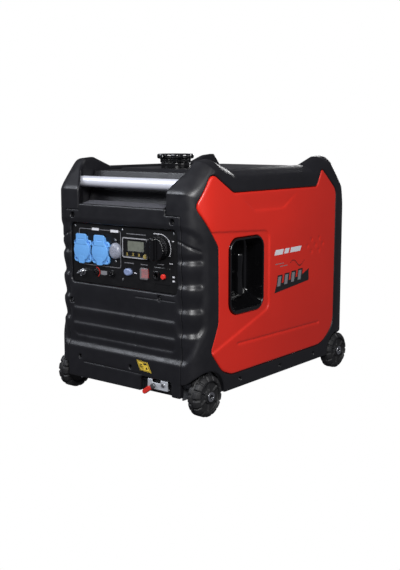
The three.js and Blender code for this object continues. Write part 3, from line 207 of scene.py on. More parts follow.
def line_distance(u, v, points):
    """Distance from an open line through points, and the place along it of the nearest point."""
    best, place, run = np.inf, 0.0, 0.0
    for (u0, v0), (u1, v1) in zip(points, points[1:]):
        du, dv = u1 - u0, v1 - v0
        length = math.hypot(du, dv)
        t = np.clip(((u - u0) * du + (v - v0) * dv) / length**2, 0, 1)
        away = np.sqrt((u - u0 - t * du) ** 2 + (v - v0 - t * dv) ** 2)
        place = np.where(away < best, run + t * length, place)
        best = np.minimum(best, away)
        run += length
    return best, place


def groove(distance, width, depth):
    return depth * (1 - ease(0, width / 2, distance))


# ---------------------------------------------------------------- meshes from fields


def surface_net(values, low, step):
    """Vertices and quads of the surface where a sampled field passes through zero."""
    inside = values < 0
    corners = [(i, j, k) for i in (0, 1) for j in (0, 1) for k in (0, 1)]
    size = np.array(values.shape) - 1

    def at(array, corner):
        return array[tuple(slice(c, c + n) for c, n in zip(corner, size))]

    count = sum(at(inside, c).astype(np.uint8) for c in corners)
    active = (count > 0) & (count < 8)
    cells = np.argwhere(active)
    value = {c: at(values, c)[active] for c in corners}
    total = np.zeros((len(cells), 3))
    crossings = np.zeros(len(cells))
    for a in corners:
        for axis in range(3):
            if a[axis]:
                continue
            b = tuple(1 if k == axis else a[k] for k in range(3))
            cross = (value[a] < 0) != (value[b] < 0)
            share = np.zeros(len(cells))
            share[cross] = value[a][cross] / (value[a][cross] - value[b][cross])
            point = np.tile(np.array(a, float), (len(cells), 1))
            point[:, axis] = share
            total += point * cross[:, None]
            crossings += cross
    vertices = np.array(low) + (cells + total / crossings[:, None]) * np.array(step)
    ids = np.full(active.shape, -1)
    ids[active] = np.arange(len(cells))
    quads = []
    for a in range(3):
        b, c = (a + 1) % 3, (a + 2) % 3
        first, second = [slice(1, -1)] * 3, [slice(1, -1)] * 3
        first[a], second[a] = slice(0, -1), slice(1, None)
        near, far = inside[tuple(first)], inside[tuple(second)]
        cross = near != far
        grid = np.argwhere(cross)
        grid[:, b] += 1
        grid[:, c] += 1
        around = []
        for back_b, back_c in ((1, 1), (0, 1), (0, 0), (1, 0)):
            cell = grid.copy()
            cell[:, b] -= back_b
            cell[:, c] -= back_c
            around.append(ids[tuple(cell.T)])
        quad = np.stack(around, 1)
        turned_in = far[cross]
        quad[turned_in] = quad[turned_in][:, ::-1]
        quads.append(quad)
    return vertices, np.concatenate(quads)


def make_mesh(name, vertices, faces, mirrored=False):
    """A smooth-shaded mesh from millimetres, mirrored to the left side if asked."""
    vertices = np.array(vertices, float) * MM
    if mirrored:
        vertices = vertices * (-1, 1, 1)
        faces = [tuple(reversed(f)) for f in faces]
    mesh = bpy.data.meshes.new(name)
    mesh.from_pydata(vertices.tolist(), [], [tuple(int(i) for i in f) for f in faces])
    mesh.polygons.foreach_set("use_smooth", [True] * len(mesh.polygons))
    mesh.update()
    piece = bpy.data.objects.new(name, mesh)
    scene.collection.objects.link(piece)
    return piece


def thin_out(piece, share):
    """Merges faces where the surface is nearly flat."""
    modifier = piece.modifiers.new("thin_out", "DECIMATE")
    modifier.ratio = share
    return piece


def net_of(shape, low, high, step):
    step = np.array(step if hasattr(step, "__len__") else (step,) * 3, float)
    axes = [np.arange(l - 2 * s, h + 3 * s, s) for l, h, s in zip(low, high, step)]
    x, y, z = np.ix_(*axes)
    values = np.broadcast_to(shape(x, y, z), [len(a) for a in axes])
    return surface_net(values, [a[0] for a in axes], step)


def carve(name, shape, low, high, step, mirrored=False):
    """The solid that a field describes, as a mesh."""
    return make_mesh(name, *net_of(shape, low, high, step), mirrored)


def finish_piece(piece, material, body, slot, *nodes):
    piece.data.materials.clear()
    piece.data.materials.append(material)
    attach(piece, body)
    if nodes:
        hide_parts(*nodes)
    return piece

# ---------------------------------------------------------------- materials


def material(name, colour, roughness, metallic=0.0, specular=0.5, coat=0.0, mottle=0.12, mottle_size=60,
             grain=0.0, grain_size=0.5, spread=0.06, stretch=(1, 1, 1), alpha=1.0, transmission=0.0):
    """A moulded or metal finish. Colour drifts by mottle over mottle_size millimetres, roughness
    by spread, and grain is the height in millimetres of bumps grain_size across."""
    made = bpy.data.materials.new(name)
    made.use_nodes = True
    nodes, links = made.node_tree.nodes, made.node_tree.links
    shader = nodes["Principled BSDF"]
    shader.inputs["Metallic"].default_value = metallic
    shader.inputs["Specular IOR Level"].default_value = specular
    shader.inputs["Coat Weight"].default_value = coat
    shader.inputs["Coat Roughness"].default_value = 0.08
    shader.inputs["Alpha"].default_value = alpha
    shader.inputs["Transmission Weight"].default_value = transmission
    place = nodes.new("ShaderNodeTexCoord")
    stretched = nodes.new("ShaderNodeMapping")
    stretched.inputs["Scale"].default_value = stretch
    links.new(place.outputs["Object"], stretched.inputs["Vector"])

    def noise(size, detail):
        node = nodes.new("ShaderNodeTexNoise")
        node.inputs["Scale"].default_value = 1 / (size * MM)
        node.inputs["Detail"].default_value = detail
        links.new(stretched.outputs["Vector"], node.inputs["Vector"])
        return node.outputs["Fac"]

    drift = noise(mottle_size, 3)
    ramp = nodes.new("ShaderNodeValToRGB")
    ramp.color_ramp.elements[0].position = 0.3
    ramp.color_ramp.elements[1].position = 0.7
    ramp.color_ramp.elements[0].color = (*[c * (1 - mottle) for c in colour], 1)
    ramp.color_ramp.elements[1].color = (*[min(1, c * (1 + mottle)) for c in colour], 1)
    links.new(drift, ramp.inputs["Fac"])
    links.new(ramp.outputs["Color"], shader.inputs["Base Color"])
    rough = nodes.new("ShaderNodeMapRange")
    rough.inputs["From Min"].default_value = 0.3
    rough.inputs["From Max"].default_value = 0.7
    rough.inputs["To Min"].default_value = max(0.02, roughness - spread)
    rough.inputs["To Max"].default_value = min(1, roughness + spread)
    links.new(noise(mottle_size / 3, 4), rough.inputs["Value"])
    links.new(rough.outputs["Result"], shader.inputs["Roughness"])
    if grain:
        bump = nodes.new("ShaderNodeBump")
        bump.inputs["Strength"].default_value = 1.0
        bump.inputs["Distance"].default_value = grain * MM
        links.new(noise(grain_size, 2), bump.inputs["Height"])
        links.new(bump.outputs["Normal"], shader.inputs["Normal"])
    return made


BLACK = material("black_plastic", (0.0078, 0.0078, 0.0100), 0.40, grain=0.03, grain_size=0.9, specular=0.5)
RED = material("red_panel", (0.66, 0.020, 0.009), 0.40, grain=0.012, grain_size=1.2, mottle=0.05,
               mottle_size=140, coat=0.15)
GLOSS = material("gloss_black", (0.003, 0.003, 0.0035), 0.16, mottle=0.2, spread=0.03, coat=0.3)
SILVER = material("silver_tube", (0.84, 0.86, 0.95), 0.36, metallic=0.35, mottle=0.03, mottle_size=8,
                  grain=0.004, grain_size=0.4, stretch=(0.02, 1, 1))
ZINC = material("zinc_plate", (0.50, 0.52, 0.55), 0.38, metallic=0.85, mottle=0.14, mottle_size=9,
                grain=0.01, grain_size=0.8)
CAST = material("cast_alloy", (0.33, 0.33, 0.34), 0.55, metallic=0.8, mottle=0.15, mottle_size=12,
                grain=0.12, grain_size=1.2)
STEEL = material("steel", (0.24, 0.245, 0.255), 0.42, metallic=0.9, mottle=0.2, mottle_size=14,
                 grain=0.02, grain_size=0.7)
COPPER = material("copper_winding", (0.42, 0.15, 0.06), 0.42, metallic=0.7, mottle=0.25, mottle_size=2,
                  grain=0.3, grain_size=1.1, stretch=(1, 0.2, 1))
BLUE = material("blue_plastic", (0.15, 0.40, 0.82), 0.38, mottle=0.04, grain=0.01, grain_size=0.7)
GREY_CAP = material("clear_grey_cap", (0.34, 0.36, 0.44), 0.28, mottle=0.12, mottle_size=8, coat=0.2,
                    transmission=0.25)
YELLOW = material("yellow_plastic", (0.42, 0.32, 0.09), 0.38, mottle=0.06, grain=0.01)
BLUE_GREY = material("blue_grey_button", (0.22, 0.28, 0.46), 0.30, mottle=0.06, coat=0.2)
RED_TRIM = material("red_plastic", (0.66, 0.03, 0.02), 0.30, mottle=0.08, mottle_size=6, coat=0.25)
DARK = material("dark_plastic", (0.035, 0.036, 0.04), 0.55, mottle=0.12, grain=0.06, grain_size=1.0)
RUBBER = material("wheel_rubber", (0.012, 0.012, 0.013), 0.58, mottle=0.25, mottle_size=5,
                  grain=0.06, grain_size=0.8)
CORD = material("cord", (0.03, 0.03, 0.032), 0.85, mottle=0.3, mottle_size=1.2, grain=0.25, grain_size=0.7)
SCREW = material("screw_steel", (0.55, 0.56, 0.58), 0.28, metallic=1.0, mottle=0.1, mottle_size=2)
PRINT = material("white_print", (0.68, 0.68, 0.72), 0.5, mottle=0.08, mottle_size=2)
GREY_PRINT = material("grey_print", (0.20, 0.20, 0.215), 0.5, mottle=0.08, mottle_size=2)
DARK_PRINT = material("dark_print", (0.008, 0.008, 0.009), 0.5, mottle=0.2, mottle_size=4)
FRAME_PRINT = material("frame_print", (0.34, 0.34, 0.36), 0.4, mottle=0.08, mottle_size=2)
LABEL = material("yellow_label", (0.74, 0.52, 0.055), 0.45, mottle=0.05, mottle_size=6)
LCD = material("lcd_glass", (0.155, 0.165, 0.135), 0.22, mottle=0.12, mottle_size=9, coat=0.5)
CLEAR = material("clear_cover", (0.30, 0.29, 0.31), 0.18, mottle=0.05, mottle_size=4, alpha=0.3)
# Painted reflection: this grey is far lighter than the black plastic the ramp is made of, and its fine
# speckle stands for light the rough ramp catches. Only the grain bump is its real texture.
PAINTED_SHEEN_GREY = material("painted_sheen_grey", (0.075, 0.075, 0.085), 0.5, grain=0.35, grain_size=2.2, mottle=0.5,
                      mottle_size=2)
PLATE_FINISH = material("plate_black", (0.0045, 0.0045, 0.005), 0.34, mottle=0.2, mottle_size=30,
                        grain=0.006, grain_size=0.7)
DARK_STEEL = material("dark_steel", (0.05, 0.05, 0.055), 0.35, metallic=0.8, mottle=0.1, mottle_size=2)
BRIGHT_ZINC = material("bright_zinc", (0.52, 0.54, 0.58), 0.42, metallic=0.35, mottle=0.1, mottle_size=9,
                       grain=0.01, grain_size=0.8)

FINISHES = {
    "black_plastic": BLACK, "red_panel": RED, "gloss_black": GLOSS, "silver_tube": SILVER,
    "zinc_plate": ZINC, "cast_alloy": CAST, "steel": STEEL, "copper_winding": COPPER,
    "blue_plastic": BLUE, "clear_grey_cap": GREY_CAP, "yellow_plastic": YELLOW,
    "blue_grey_button": BLUE_GREY, "red_plastic": RED_TRIM, "dark_plastic": DARK,
    "wheel_rubber": RUBBER, "cord": CORD,
}


def finish_cad_nodes():
    """Every carried-over CAD node takes the finish that its record slot names."""
    for part in frame["record"]["subparts"]:
        node = frame["nodes"][part["node"]]
        node.data.materials.clear()
        node.data.materials.append(FINISHES[part["material_slot"]])


finish_cad_nodes()

# ---------------------------------------------------------------- shell outlines

PLAN_FRONT = curve((SIDE - 29, FRONT), (SIDE, FRONT + 8), (SIDE, FRONT + 64), 14)
PLAN_REAR = curve((SIDE, REAR - 60), (SIDE, REAR - 3), (SIDE - 37, REAR), 12)
PLAN = [(-300, FRONT), *PLAN_FRONT, *PLAN_REAR, (-300, REAR)]
PLAN_LINE = [(0, FRONT), *PLAN_FRONT, *PLAN_REAR, (0, REAR)]

SIDE_VIEW = [
    (FRONT, -60), (REAR, -60), (REAR, SHELF_Z - 25), (REAR - 18, CHEEK_Z), (REAR - 78, PEAK_Z),
    (REAR - 104, PEAK_Z - 2), (REAR - 158, DIP_Z), (FRONT + 128, DIP_Z), (FRONT + 78, PEAK_Z),
    (FRONT + 51, PEAK_Z - 2), (FRONT, CHEEK_Z),
]

SIDE_PANEL = [
    (FRONT + 116, 69, 8), (REAR - 112, 69, 26), (REAR - 64, 104, 26), (REAR - 62, 411, 14),
    (REAR - 123, 459, 8), (REAR - 144, 421, 4), (FRONT + 120, 422, 6), (FRONT + 53, 461, 14),
    (FRONT + 14, 400, 14), (FRONT + 73, 324, 8), (FRONT + 74, 176, 8), (FRONT + 50, 124, 10),
    (FRONT + 86, 80, 12),
]


def body_field(x, y, z):
    """The whole shell as a solid, with its guards' chamfers and rounded edges."""
    plan = polygon(abs(x), y, PLAN)
    side = polygon(y, z, SIDE_VIEW)
    across, down = CHAMFER
    slope = ((abs(x) - SIDE + across) / across + side / down) / math.hypot(1 / across, 1 / down)
    return within(within(plan, side, 7), slope, 7)


def unrolled(x, y):
    """Distance along the plan outline from the middle of the front."""
    return line_distance(abs(x), y, PLAN_LINE)[1]


# The field inside the rim, in distance round the shell and height. It is sunk, and holds the ribs.
SUNK = [(-80, 100), (166, 100, 12), (212, 170, 10), (212, 368, 72), (-80, 368)]
SUNK_DEPTH = 3.2
SUNK_SLOPE = 14.0
SKIRT_STEP = 3.0
RIB_PITCH = 46.0
RIB_DEPTH = 4.4
RIB_FIRST = 257.0


def saw(z):
    """Down a rib: a short ledge out to its crest, then a long fall back to the next one."""
    phase = np.mod(RIB_FIRST - z, RIB_PITCH) / RIB_PITCH
    return 1 - ease(0, 0.26, phase) + ease(0.34, 1, phase)


def corner_relief(along, z):
    """How far the shell's skin is sunk at the corners."""
    inside = -polygon(along, z, rounded(SUNK))
    sunk = (SUNK_DEPTH + SKIRT_STEP * (1 - ease(112, 150, z))) * ease(0, SUNK_SLOPE, inside)
    ribbed = ease(7, 16, inside) * ease(138, 148, along) * ease(140, 152, z)
    ribs = RIB_DEPTH * saw(z) * (1 - ease(RIB_FIRST + RIB_PITCH - 6, RIB_FIRST + RIB_PITCH + 14, z))
    slant = abs(z - 337 + 0.36 * (along - 142))
    cut = groove(slant, 7, 2.2) * ease(10, 16, inside)
    return sunk + ribbed * (ribs + cut)


WHEEL_Y = [(extents(f"{end}_axle")[0][1] + extents(f"{end}_axle")[1][1]) / 2 for end in ("front", "rear")]
AXLE_Z = (extents("front_axle")[0][2] + extents("front_axle")[1][2]) / 2
WHEEL_INNER = extents("wheel_front_right")[0][0]
WHEEL_OUTER = extents("wheel_front_right")[1][0]
WHEEL_RADIUS = (extents("wheel_front_right")[1][2] - extents("wheel_front_right")[0][2]) / 2
ARCH = WHEEL_RADIUS + ARCH_CLEARANCE
AXLE_END = extents("front_axle")[1][0]
BAR_Y = [np.mean([e[1] for e in extents(f"handle_bar_{end}")]) for end in ("front", "rear")]
BAR_Z = np.mean([e[2] for e in extents("handle_bar_front")])
BAR_RADIUS = (extents("handle_bar_front")[1][2] - extents("handle_bar_front")[0][2]) / 2
SKIRT_HOLES = [(-138, 54), (5, 52), (137, 53)]


def deck_view(lap):
    """Side view of the space between the guards, lowered by lap."""
    step, rise = SHELF_DEPTH, SHELF_DEPTH + DECK_SLOPE
    return [
        (FRONT - PAST, -90), (REAR + PAST, -90), (REAR + PAST, SHELF_Z - lap), (REAR - step, SHELF_Z - lap),
        (REAR - rise, DECK_Z - lap), (FRONT + rise, DECK_Z - lap),
        (FRONT + step, SHELF_Z - lap), (FRONT - PAST, SHELF_Z - lap),
    ]


# The space between the guards again, lowered and narrowed so that their inner walls lap the deck.
LAP_VIEW = [
    (FRONT - PAST, -90), (REAR + PAST, -90), (REAR + PAST, SHELF_Z - LAP), (REAR - 64, SHELF_Z - LAP),
    (REAR - 92, DECK_Z - 2 * LAP), (FRONT + 92, DECK_Z - 2 * LAP), (FRONT + 64, SHELF_Z - LAP),
    (FRONT - PAST, SHELF_Z - LAP),
]


def guard_inner(y):
    """How far the guard's inner face is from the middle. It flares inwards at both ends."""
    front = 1 - ease(FRONT, FRONT + CHEEK_LENGTH, y)
    rear = ease(REAR - CHEEK_LENGTH, REAR, y)
    return GUARD_INNER - CHEEK_FLARE * (front + rear)


def side_frame_field(x, y, z):
    """One side's guard, corners and skirt, open where the side panel sits."""
    body = body_field(x, y, z)
    skin = body + corner_relief(unrolled(x, y), z)
    skin = within(skin, guard_inner(y) - x, 5)
    skin = within(skin, SKIRT_Z - z, 2)
    cavity = within(body + WALL + SUNK_DEPTH + RIB_DEPTH, guard_inner(y) + WALL + 1 - x)
    between = within(polygon(y, z, LAP_VIEW), x - SEAM)
    shape = minus(minus(skin, cavity), between, 0.3)
    opening = within(polygon(y, z, rounded(SIDE_PANEL, SEAM_GAP)), SEAM + 2 - x)
    shape = minus(shape, opening, 3)
    for wheel_y in WHEEL_Y:
        arch = within(disc(y, z, (wheel_y, AXLE_Z), ARCH), WHEEL_INNER - 1 - x)
        shape = minus(shape, arch, 3)
    for place in SKIRT_HOLES:
        shape = minus(shape, within(disc(y, z, place, 4.2), SIDE - 6 - x), 2)
    for bar_y in BAR_Y:
        shape = minus(shape, within(disc(y, z, (bar_y, BAR_Z), BAR_RADIUS + 0.6), x - GUARD_INNER - 12))
    return shape


def make_side_frames():
    low, high = extents("side_frame_right")
    vertices, faces = net_of(side_frame_field, low, high, (1.7, 1.9, 1.9))
    for side in ("right", "left"):
        piece = make_mesh(f"{side}_side_frame", vertices, faces, side == "left")
        thin_out(piece, 0.4)
        finish_piece(piece, BLACK, "root", "black_plastic", f"side_frame_{side}")


make_side_frames()

# ---------------------------------------------------------------- side panels

DISH_LOW, DISH_HIGH = extents("recess_dish")
DISH_CORNER = 25
FACET = [(-300, 356), (-300, 97), (-226, 121), (-39, 182, 14), (-39, 341, 20)]
BROW = [(-170, 430), (-92, 384, 6), (10, 383, 6), (92, 430)]
LOWER_GROOVE = [(-146, 126.5), (156, 121)]
DIMPLES = [(138 + 15.5 * u, 295 + 13 * v) for u, v in
           ((-1, 1), (1, 1), (-2, 0), (0, 0), (2, 0), (-1, -1), (1, -1))]


def panel_relief(y, z):
    """How far a side panel's skin is sunk by its creases, groove and dimples."""
    facet = polygon(y, z, rounded(FACET))
    sunk = 2.4 * ease(-1.5, 1.5, -facet)
    brow = -polygon(y, z, rounded(BROW))
    sunk = sunk + 1.6 * ease(-1.5, 1.5, brow) * (1 - ease(386, 420, z))
    sunk = sunk + groove(line_distance(y, z, LOWER_GROOVE)[0], 7, 2.2)
    sunk = sunk + groove(disc(y, z, LOWER_GROOVE[1], 1), 6, 1.0)
    for place in DIMPLES:
        sunk = sunk + 1.5 * (1 - ease(-3.5, 1.5, disc(y, z, place, 5)))
    return sunk


def side_panel_field(x, y, z):
    body = body_field(x, y, z)
    skin = body + panel_relief(y, z)
    outline = polygon(y, z, rounded(SIDE_PANEL))
    return minus(within(skin, outline, 3), body + PANEL_WALL + 2.4)


def dish_outline(y, z, grow):
    low, high = DISH_LOW[1:] - grow, DISH_HIGH[1:] + grow
    return round_rect(y, z, low, high, DISH_CORNER + grow)


def right_panel_field(x, y, z):
    return minus(side_panel_field(x, y, z), dish_outline(y, z, SEAM_GAP), 3)


DOOR_LOW, DOOR_HIGH = extents("service_door")
HINGE_Y = 109
HINGE_X = SIDE - 1.5
HINGE_LOW, HINGE_HIGH = 182, 322
KNUCKLE = 14


def door_outline(y, z, grow):
    low = np.array((DOOR_LOW[1], DOOR_LOW[2])) - grow
    high = np.array((HINGE_Y, DOOR_HIGH[2])) + grow
    return round_rect(y, z, low, high, 11 + grow)


def left_panel_field(x, y, z):
    """Drawn on the right and mirrored. It carries the outer knuckles of the door's hinge."""
    barrel = disc(x, y, (HINGE_X, HINGE_Y), 4)
    knuckles = np.minimum(span(z, HINGE_LOW - KNUCKLE, HINGE_LOW), span(z, HINGE_HIGH, HINGE_HIGH + KNUCKLE))
    opening = door_outline(y, z, 1.5)
    clear = within(disc(x, y, (HINGE_X, HINGE_Y), 5.5), span(z, HINGE_LOW, HINGE_HIGH))
    shape = minus(side_panel_field(x, y, z), np.minimum(opening, clear), 2)
    web = within(span(y, HINGE_Y, HINGE_Y + 5), span(x, SIDE - 3, SIDE))
    return union(shape, within(np.minimum(barrel, web), knuckles, 1.5), 1)


def service_door_field(x, y, z):
    flat = within(span(x, SIDE - 3, SIDE), door_outline(y, z, 0), 2)
    barrel = within(disc(x, y, (HINGE_X, HINGE_Y), 4), span(z, HINGE_LOW + 0.4, HINGE_HIGH - 0.4), 1)
    shape = union(flat, barrel, 1.5)
    for low, high in ((HINGE_LOW - KNUCKLE - 2, HINGE_LOW), (HINGE_HIGH, HINGE_HIGH + KNUCKLE + 2)):
        shape = minus(shape, within(disc(x, y, (HINGE_X, HINGE_Y), 5.2), span(z, low, high)))
    shape = minus(shape, groove_ring(y, z, x))
    return minus(shape, disc(x, y, (HINGE_X, HINGE_Y), 1.8))


def groove_ring(y, z, x):
    """A shallow moulded line just inside the door's edge."""
    return within(abs(door_outline(y, z, -12)) - 1.2, SIDE - 1.0 - x)


def make_side_panels():
    low, high = extents("side_panel_right")
    step = (1.4, 2.1, 2.1)
    right = carve("right_side_panel", right_panel_field, low, high, step)
    finish_piece(thin_out(right, 0.45), RED, "root", "red_panel", "side_panel_right")
    left = carve("left_side_panel", left_panel_field, low, high, step, mirrored=True)
    finish_piece(thin_out(left, 0.45), RED, "root", "red_panel", "side_panel_left")
    low, high = DOOR_LOW * (-1, 1, 1), DOOR_HIGH * (-1, 1, 1)
    low, high = np.minimum(low, high), np.maximum(low, high)
    door = carve("left_service_door", service_door_field, low, high, (1, 1.6, 1.6), mirrored=True)
    finish_piece(thin_out(door, 0.5), RED, "service_door", "red_panel", "service_door")


make_side_panels()

# ---------------------------------------------------------------- end panels and top

END_HALF = SEAM - 0.2
RECESS_LOW, RECESS_HIGH = (-140, 235), (140, 356)
FRONT_SCREWS = [(131, 372), (-131, 372), (-141, 196), (96.5, 225)]
SKIRT_SCREWS = [(-116, 82), (23, 81)]
FRONT_RIDGES = (182, 150, 118)
RIDGE_DEPTH = 2.6
HATCH = [(33, 124), (33, 222), (134, 222)]
SKIRT_LINE = [(-105, 72), (52, 71)]
BRAKE_CUT = (50, -40), (128, 67)


def end_body(x, y, z, end, sign):
    """A flat end sheet with the shelf on top of it, between the guards."""
    face = within(within(span(x, -END_HALF, END_HALF), span(z, SKIRT_Z, SHELF_Z - 12.2)),
                  (y - end) * sign, 0.3)
    brow = within(within(abs(x) - guard_inner(y) + 0.3, span(z, SKIRT_Z + 60, SHELF_Z), 3),
                  (y - end) * sign, 3)
    return within(np.minimum(face, brow), polygon(y, z, SIDE_VIEW), 2)


def end_cavity(x, y, z, end, sign, depth):
    behind = (end - sign * depth - y) * -sign
    over = within(z - SHELF_Z + SHEET, abs(x) - 500)
    return within(behind, over)


def front_relief(x, z):
    """Sunk field, sloping ridges and the service hatch's outline on the front sheet."""
    along = abs(x)
    sunk = corner_relief(along, z)
    field = -round_rect(x, z, (-139, 121), (139, 229), 16)
    inside = ease(0, 7, field)
    ridges = 0.0
    top = 226.0
    for ridge in FRONT_RIDGES:
        fall = ease(top, ridge + 8, z) if top < ridge else 1 - ease(ridge + 8, top, z)
        ledge = ease(ridge - 3, ridge + 5, z)
        ridges = ridges + RIDGE_DEPTH * np.where((z <= top) & (z > ridge - 3), fall * ledge, 0)
        top = ridge - 3
    sunk = sunk + inside * ridges
    sunk = sunk + groove(line_distance(x, z, HATCH)[0], 4, 1.2)
    return sunk + groove(line_distance(x, z, SKIRT_LINE)[0], 4.5, 1.6)


def front_panel_field(x, y, z):
    relief = front_relief(x, z)
    shape = end_body(x, y - relief, z, FRONT, -1)
    shape = minus(shape, end_cavity(x, y, z, FRONT, -1, 13))
    window = round_rect(x, z, RECESS_LOW, RECESS_HIGH, 10)
    shape = minus(shape, within(window, y - FRONT - 60), 4)
    for place in FRONT_SCREWS:
        shape = minus(shape, within(disc(x, z, place, 5.5), y - FRONT - 9), 2.5)
    for place in SKIRT_SCREWS:
        shape = minus(shape, within(disc(x, z, place, 4.2), y - FRONT - 7), 2)
    notch = round_rect(x, z, *BRAKE_CUT, 5)
    return minus(shape, within(notch, y - FRONT - 9), 2.5)


def make_front_panel():
    low, high = extents("front_panel")
    high = high.copy()
    high[1] = FRONT + 14
    piece = carve("front_face", front_panel_field, low, high, (2, 1.5, 1.6))
    finish_piece(thin_out(piece, 0.45), BLACK, "root", "black_plastic", "front_panel")


make_front_panel()


RAMP = {"half": 106, "start": 3, "end": 29, "lip": 0.6, "rise": 6.5}


def shelf_strip_field(x, y, z):
    """The ribbed ramp on the front shelf, under the bar."""
    start, end = FRONT + RAMP["start"], FRONT + RAMP["end"]
    ramp = z - SHELF_Z - RAMP["lip"] - RAMP["rise"] * (y - start) / (end - start)
    shape = within(within(abs(x) - RAMP["half"], span(y, start, end), 1), ramp, 1)
    shape = within(shape, SHELF_Z + 0.1 - z)
    return within(shape, ramp + groove(abs(np.mod(x, 5) - 2.5), 2, 0.9))


def make_shelf_strip():
    low = (-RAMP["half"] - 1, FRONT + RAMP["start"] - 1, SHELF_Z)
    high = (RAMP["half"] + 1, FRONT + RAMP["end"] + 1, SHELF_Z + 9)
    piece = carve("front_shelf_ramp", shelf_strip_field, low, high, (1, 1, 0.8))
    # The ramp is black plastic. Its grey finish is a painted reflection of light from behind it.
    finish_piece(piece, PAINTED_SHEEN_GREY, "root", "black_plastic")


make_shelf_strip()

# ---------------------------------------------------------------- rear panel, grille and top


TAIL_PIPE = (60, 218)
GRILLE_ROWS = 9
DECK_SINK = 7
PAD_RISE = 5
CAP_CENTRE = tuple(((extents("fuel_cap_knob")[0] + extents("fuel_cap_knob")[1]) / 2)[:2])


def rear_panel_field(x, y, z):
    shape = end_body(x, y, z, REAR, 1)
    shape = minus(shape, end_cavity(x, y, z, REAR, 1, 9))
    low, high = extents("exhaust_grille")
    window = round_rect(x, z, (low[0] - 0.5, low[2] - 0.5), (high[0] + 0.5, high[2] + 0.5), 8)
    return minus(shape, within(window, REAR - 40 - y), 3)


def grille_field(x, y, z):
    low, high = extents("exhaust_grille")
    back = REAR - 5
    plate = within(round_rect(x, z, (low[0], low[2]), (high[0], high[2]), 8), span(y, back, REAR), 2)
    for row in range(GRILLE_ROWS):
        middle = low[2] + (high[2] - low[2]) * (row + 0.5) / GRILLE_ROWS
        slot = round_rect(x, z, (low[0] + 12, middle - 4.5), (high[0] - 12, middle + 4.5), 4.4)
        plate = minus(plate, slot, 2)
    return minus(plate, disc(x, z, TAIL_PIPE, 17), 2)


def make_rear():
    low, high = extents("rear_panel")
    low = low.copy()
    low[1] = REAR - 10
    piece = carve("rear_face", rear_panel_field, low, high, (2, 1.5, 1.8))
    finish_piece(thin_out(piece, 0.4), BLACK, "root", "black_plastic", "rear_panel")
    low, high = extents("exhaust_grille")
    low = low.copy()
    low[1] = REAR - 6
    grille = carve("rear_grille", grille_field, low, high, (1.2, 1, 1))
    finish_piece(thin_out(grille, 0.5), BLACK, "root", "black_plastic", "exhaust_grille")


def top_field(x, y, z):
    """The deck between the guards, with a raised pad and a dip round the filler."""
    view = polygon(y, z, deck_view(DECK_SINK))
    pad = round_rect(x, y, (-104, -180), (104, 180), 18)
    shape = view - PAD_RISE * ease(0, 8, -pad) * (z > DECK_Z - 30)
    shape = within(shape, abs(x) - GUARD_INNER + 0.4, 2)
    shape = minus(shape, view + SHEET)
    bottom = within(shape, SHELF_Z - 40 - z)
    return minus(bottom, disc(x, y, CAP_CENTRE, 28.5), 1.5)


def make_top():
    low, high = extents("top_cover")
    low, high = low.copy(), high.copy()
    low[2] = max(low[2], SHELF_Z - 40)
    high[2] = DECK_Z + 4
    piece = carve("top_deck", top_field, low, high, (2, 2, 1.5))
    finish_piece(thin_out(piece, 0.45), BLACK, "root", "black_plastic", "top_cover")


make_rear()
make_top()

# ---------------------------------------------------------------- turned pieces


def lathe(name, outline, centre, axis, turns=64):
    """A turned solid. outline gives (along, radius, corner) from the axis round to the axis."""
    points = rounded(outline)
    angles = [2 * math.pi * k / turns for k in range(turns)]
    vertices, rows = [], []
    u, v = (axis + 1) % 3, (axis + 2) % 3
    for along, radius in points:
        pole = radius < 1e-6
        row = []
        for angle in [0] if pole else angles:
            vertex = [0.0, 0.0, 0.0]
            vertex[axis] = along
            vertex[u] = radius * math.cos(angle)
            vertex[v] = radius * math.sin(angle)
            row.append(len(vertices))
            vertices.append([a + b for a, b in zip(vertex, centre)])
        rows.append(row if not pole else row * turns)
    faces = []
    for near, far in zip(rows, rows[1:]):
        for k in range(turns):
            ring = [near[k], near[(k + 1) % turns], far[(k + 1) % turns], far[k]]
            corners = list(dict.fromkeys(ring))
            if len(corners) > 2:
                faces.append(corners)
    return make_mesh(name, *facing_out(vertices, faces))


def facing_out(vertices, faces):
    volume = 0.0
    for face in faces:
        a, b, c = (np.array(vertices[face[k]]) for k in (0, 1, -1))
        volume += float(np.dot(a, np.cross(b, c)))
        if len(face) > 3:
            d = np.array(vertices[face[2]])
            volume += float(np.dot(b, np.cross(d, c)))
    return vertices, faces if volume > 0 else [f[::-1] for f in faces]


def spool(start, end, radius, corner):
    """Outline of a plain round bar with rounded ends."""
    return [(start, 0), (start, radius, corner), (end, radius, corner), (end, 0)]


def make_handles():
    for end, bar_y in zip(("front", "rear"), BAR_Y):
        half = extents(f"handle_bar_{end}")[1][0]
        outline = spool(-half, half, BAR_RADIUS, 1.5)
        piece = lathe(f"{end}_handle_tube", outline, (0, bar_y, BAR_Z), 0, 96)
        finish_piece(piece, SILVER, "root", "silver_tube", f"handle_bar_{end}")


GRIP_LOW, GRIP_HIGH = extents("recoil_grip")
GRIP_Y = (GRIP_LOW[1] + GRIP_HIGH[1]) / 2
GRIP_X = GRIP_HIGH[0] - 10
GRIP_Z = (GRIP_LOW[2] + GRIP_HIGH[2]) / 2


def grip_field(x, y, z):
    """A waisted pull grip with a stem towards the rope."""
    rise = z - GRIP_Z
    half = (GRIP_HIGH[2] - GRIP_LOW[2]) / 2
    waist = 10 - 2.5 * np.cos(np.clip(rise / half, -1, 1) * math.pi / 2) ** 2
    handle = within(disc(x, y, (GRIP_X, GRIP_Y), 0) - waist + 0.8, abs(rise) - half, 6)
    stem = within(disc(y, z, (GRIP_Y, GRIP_Z), 6), span(x, GRIP_LOW[0], GRIP_X), 1.5)
    return union(handle, stem, 5)


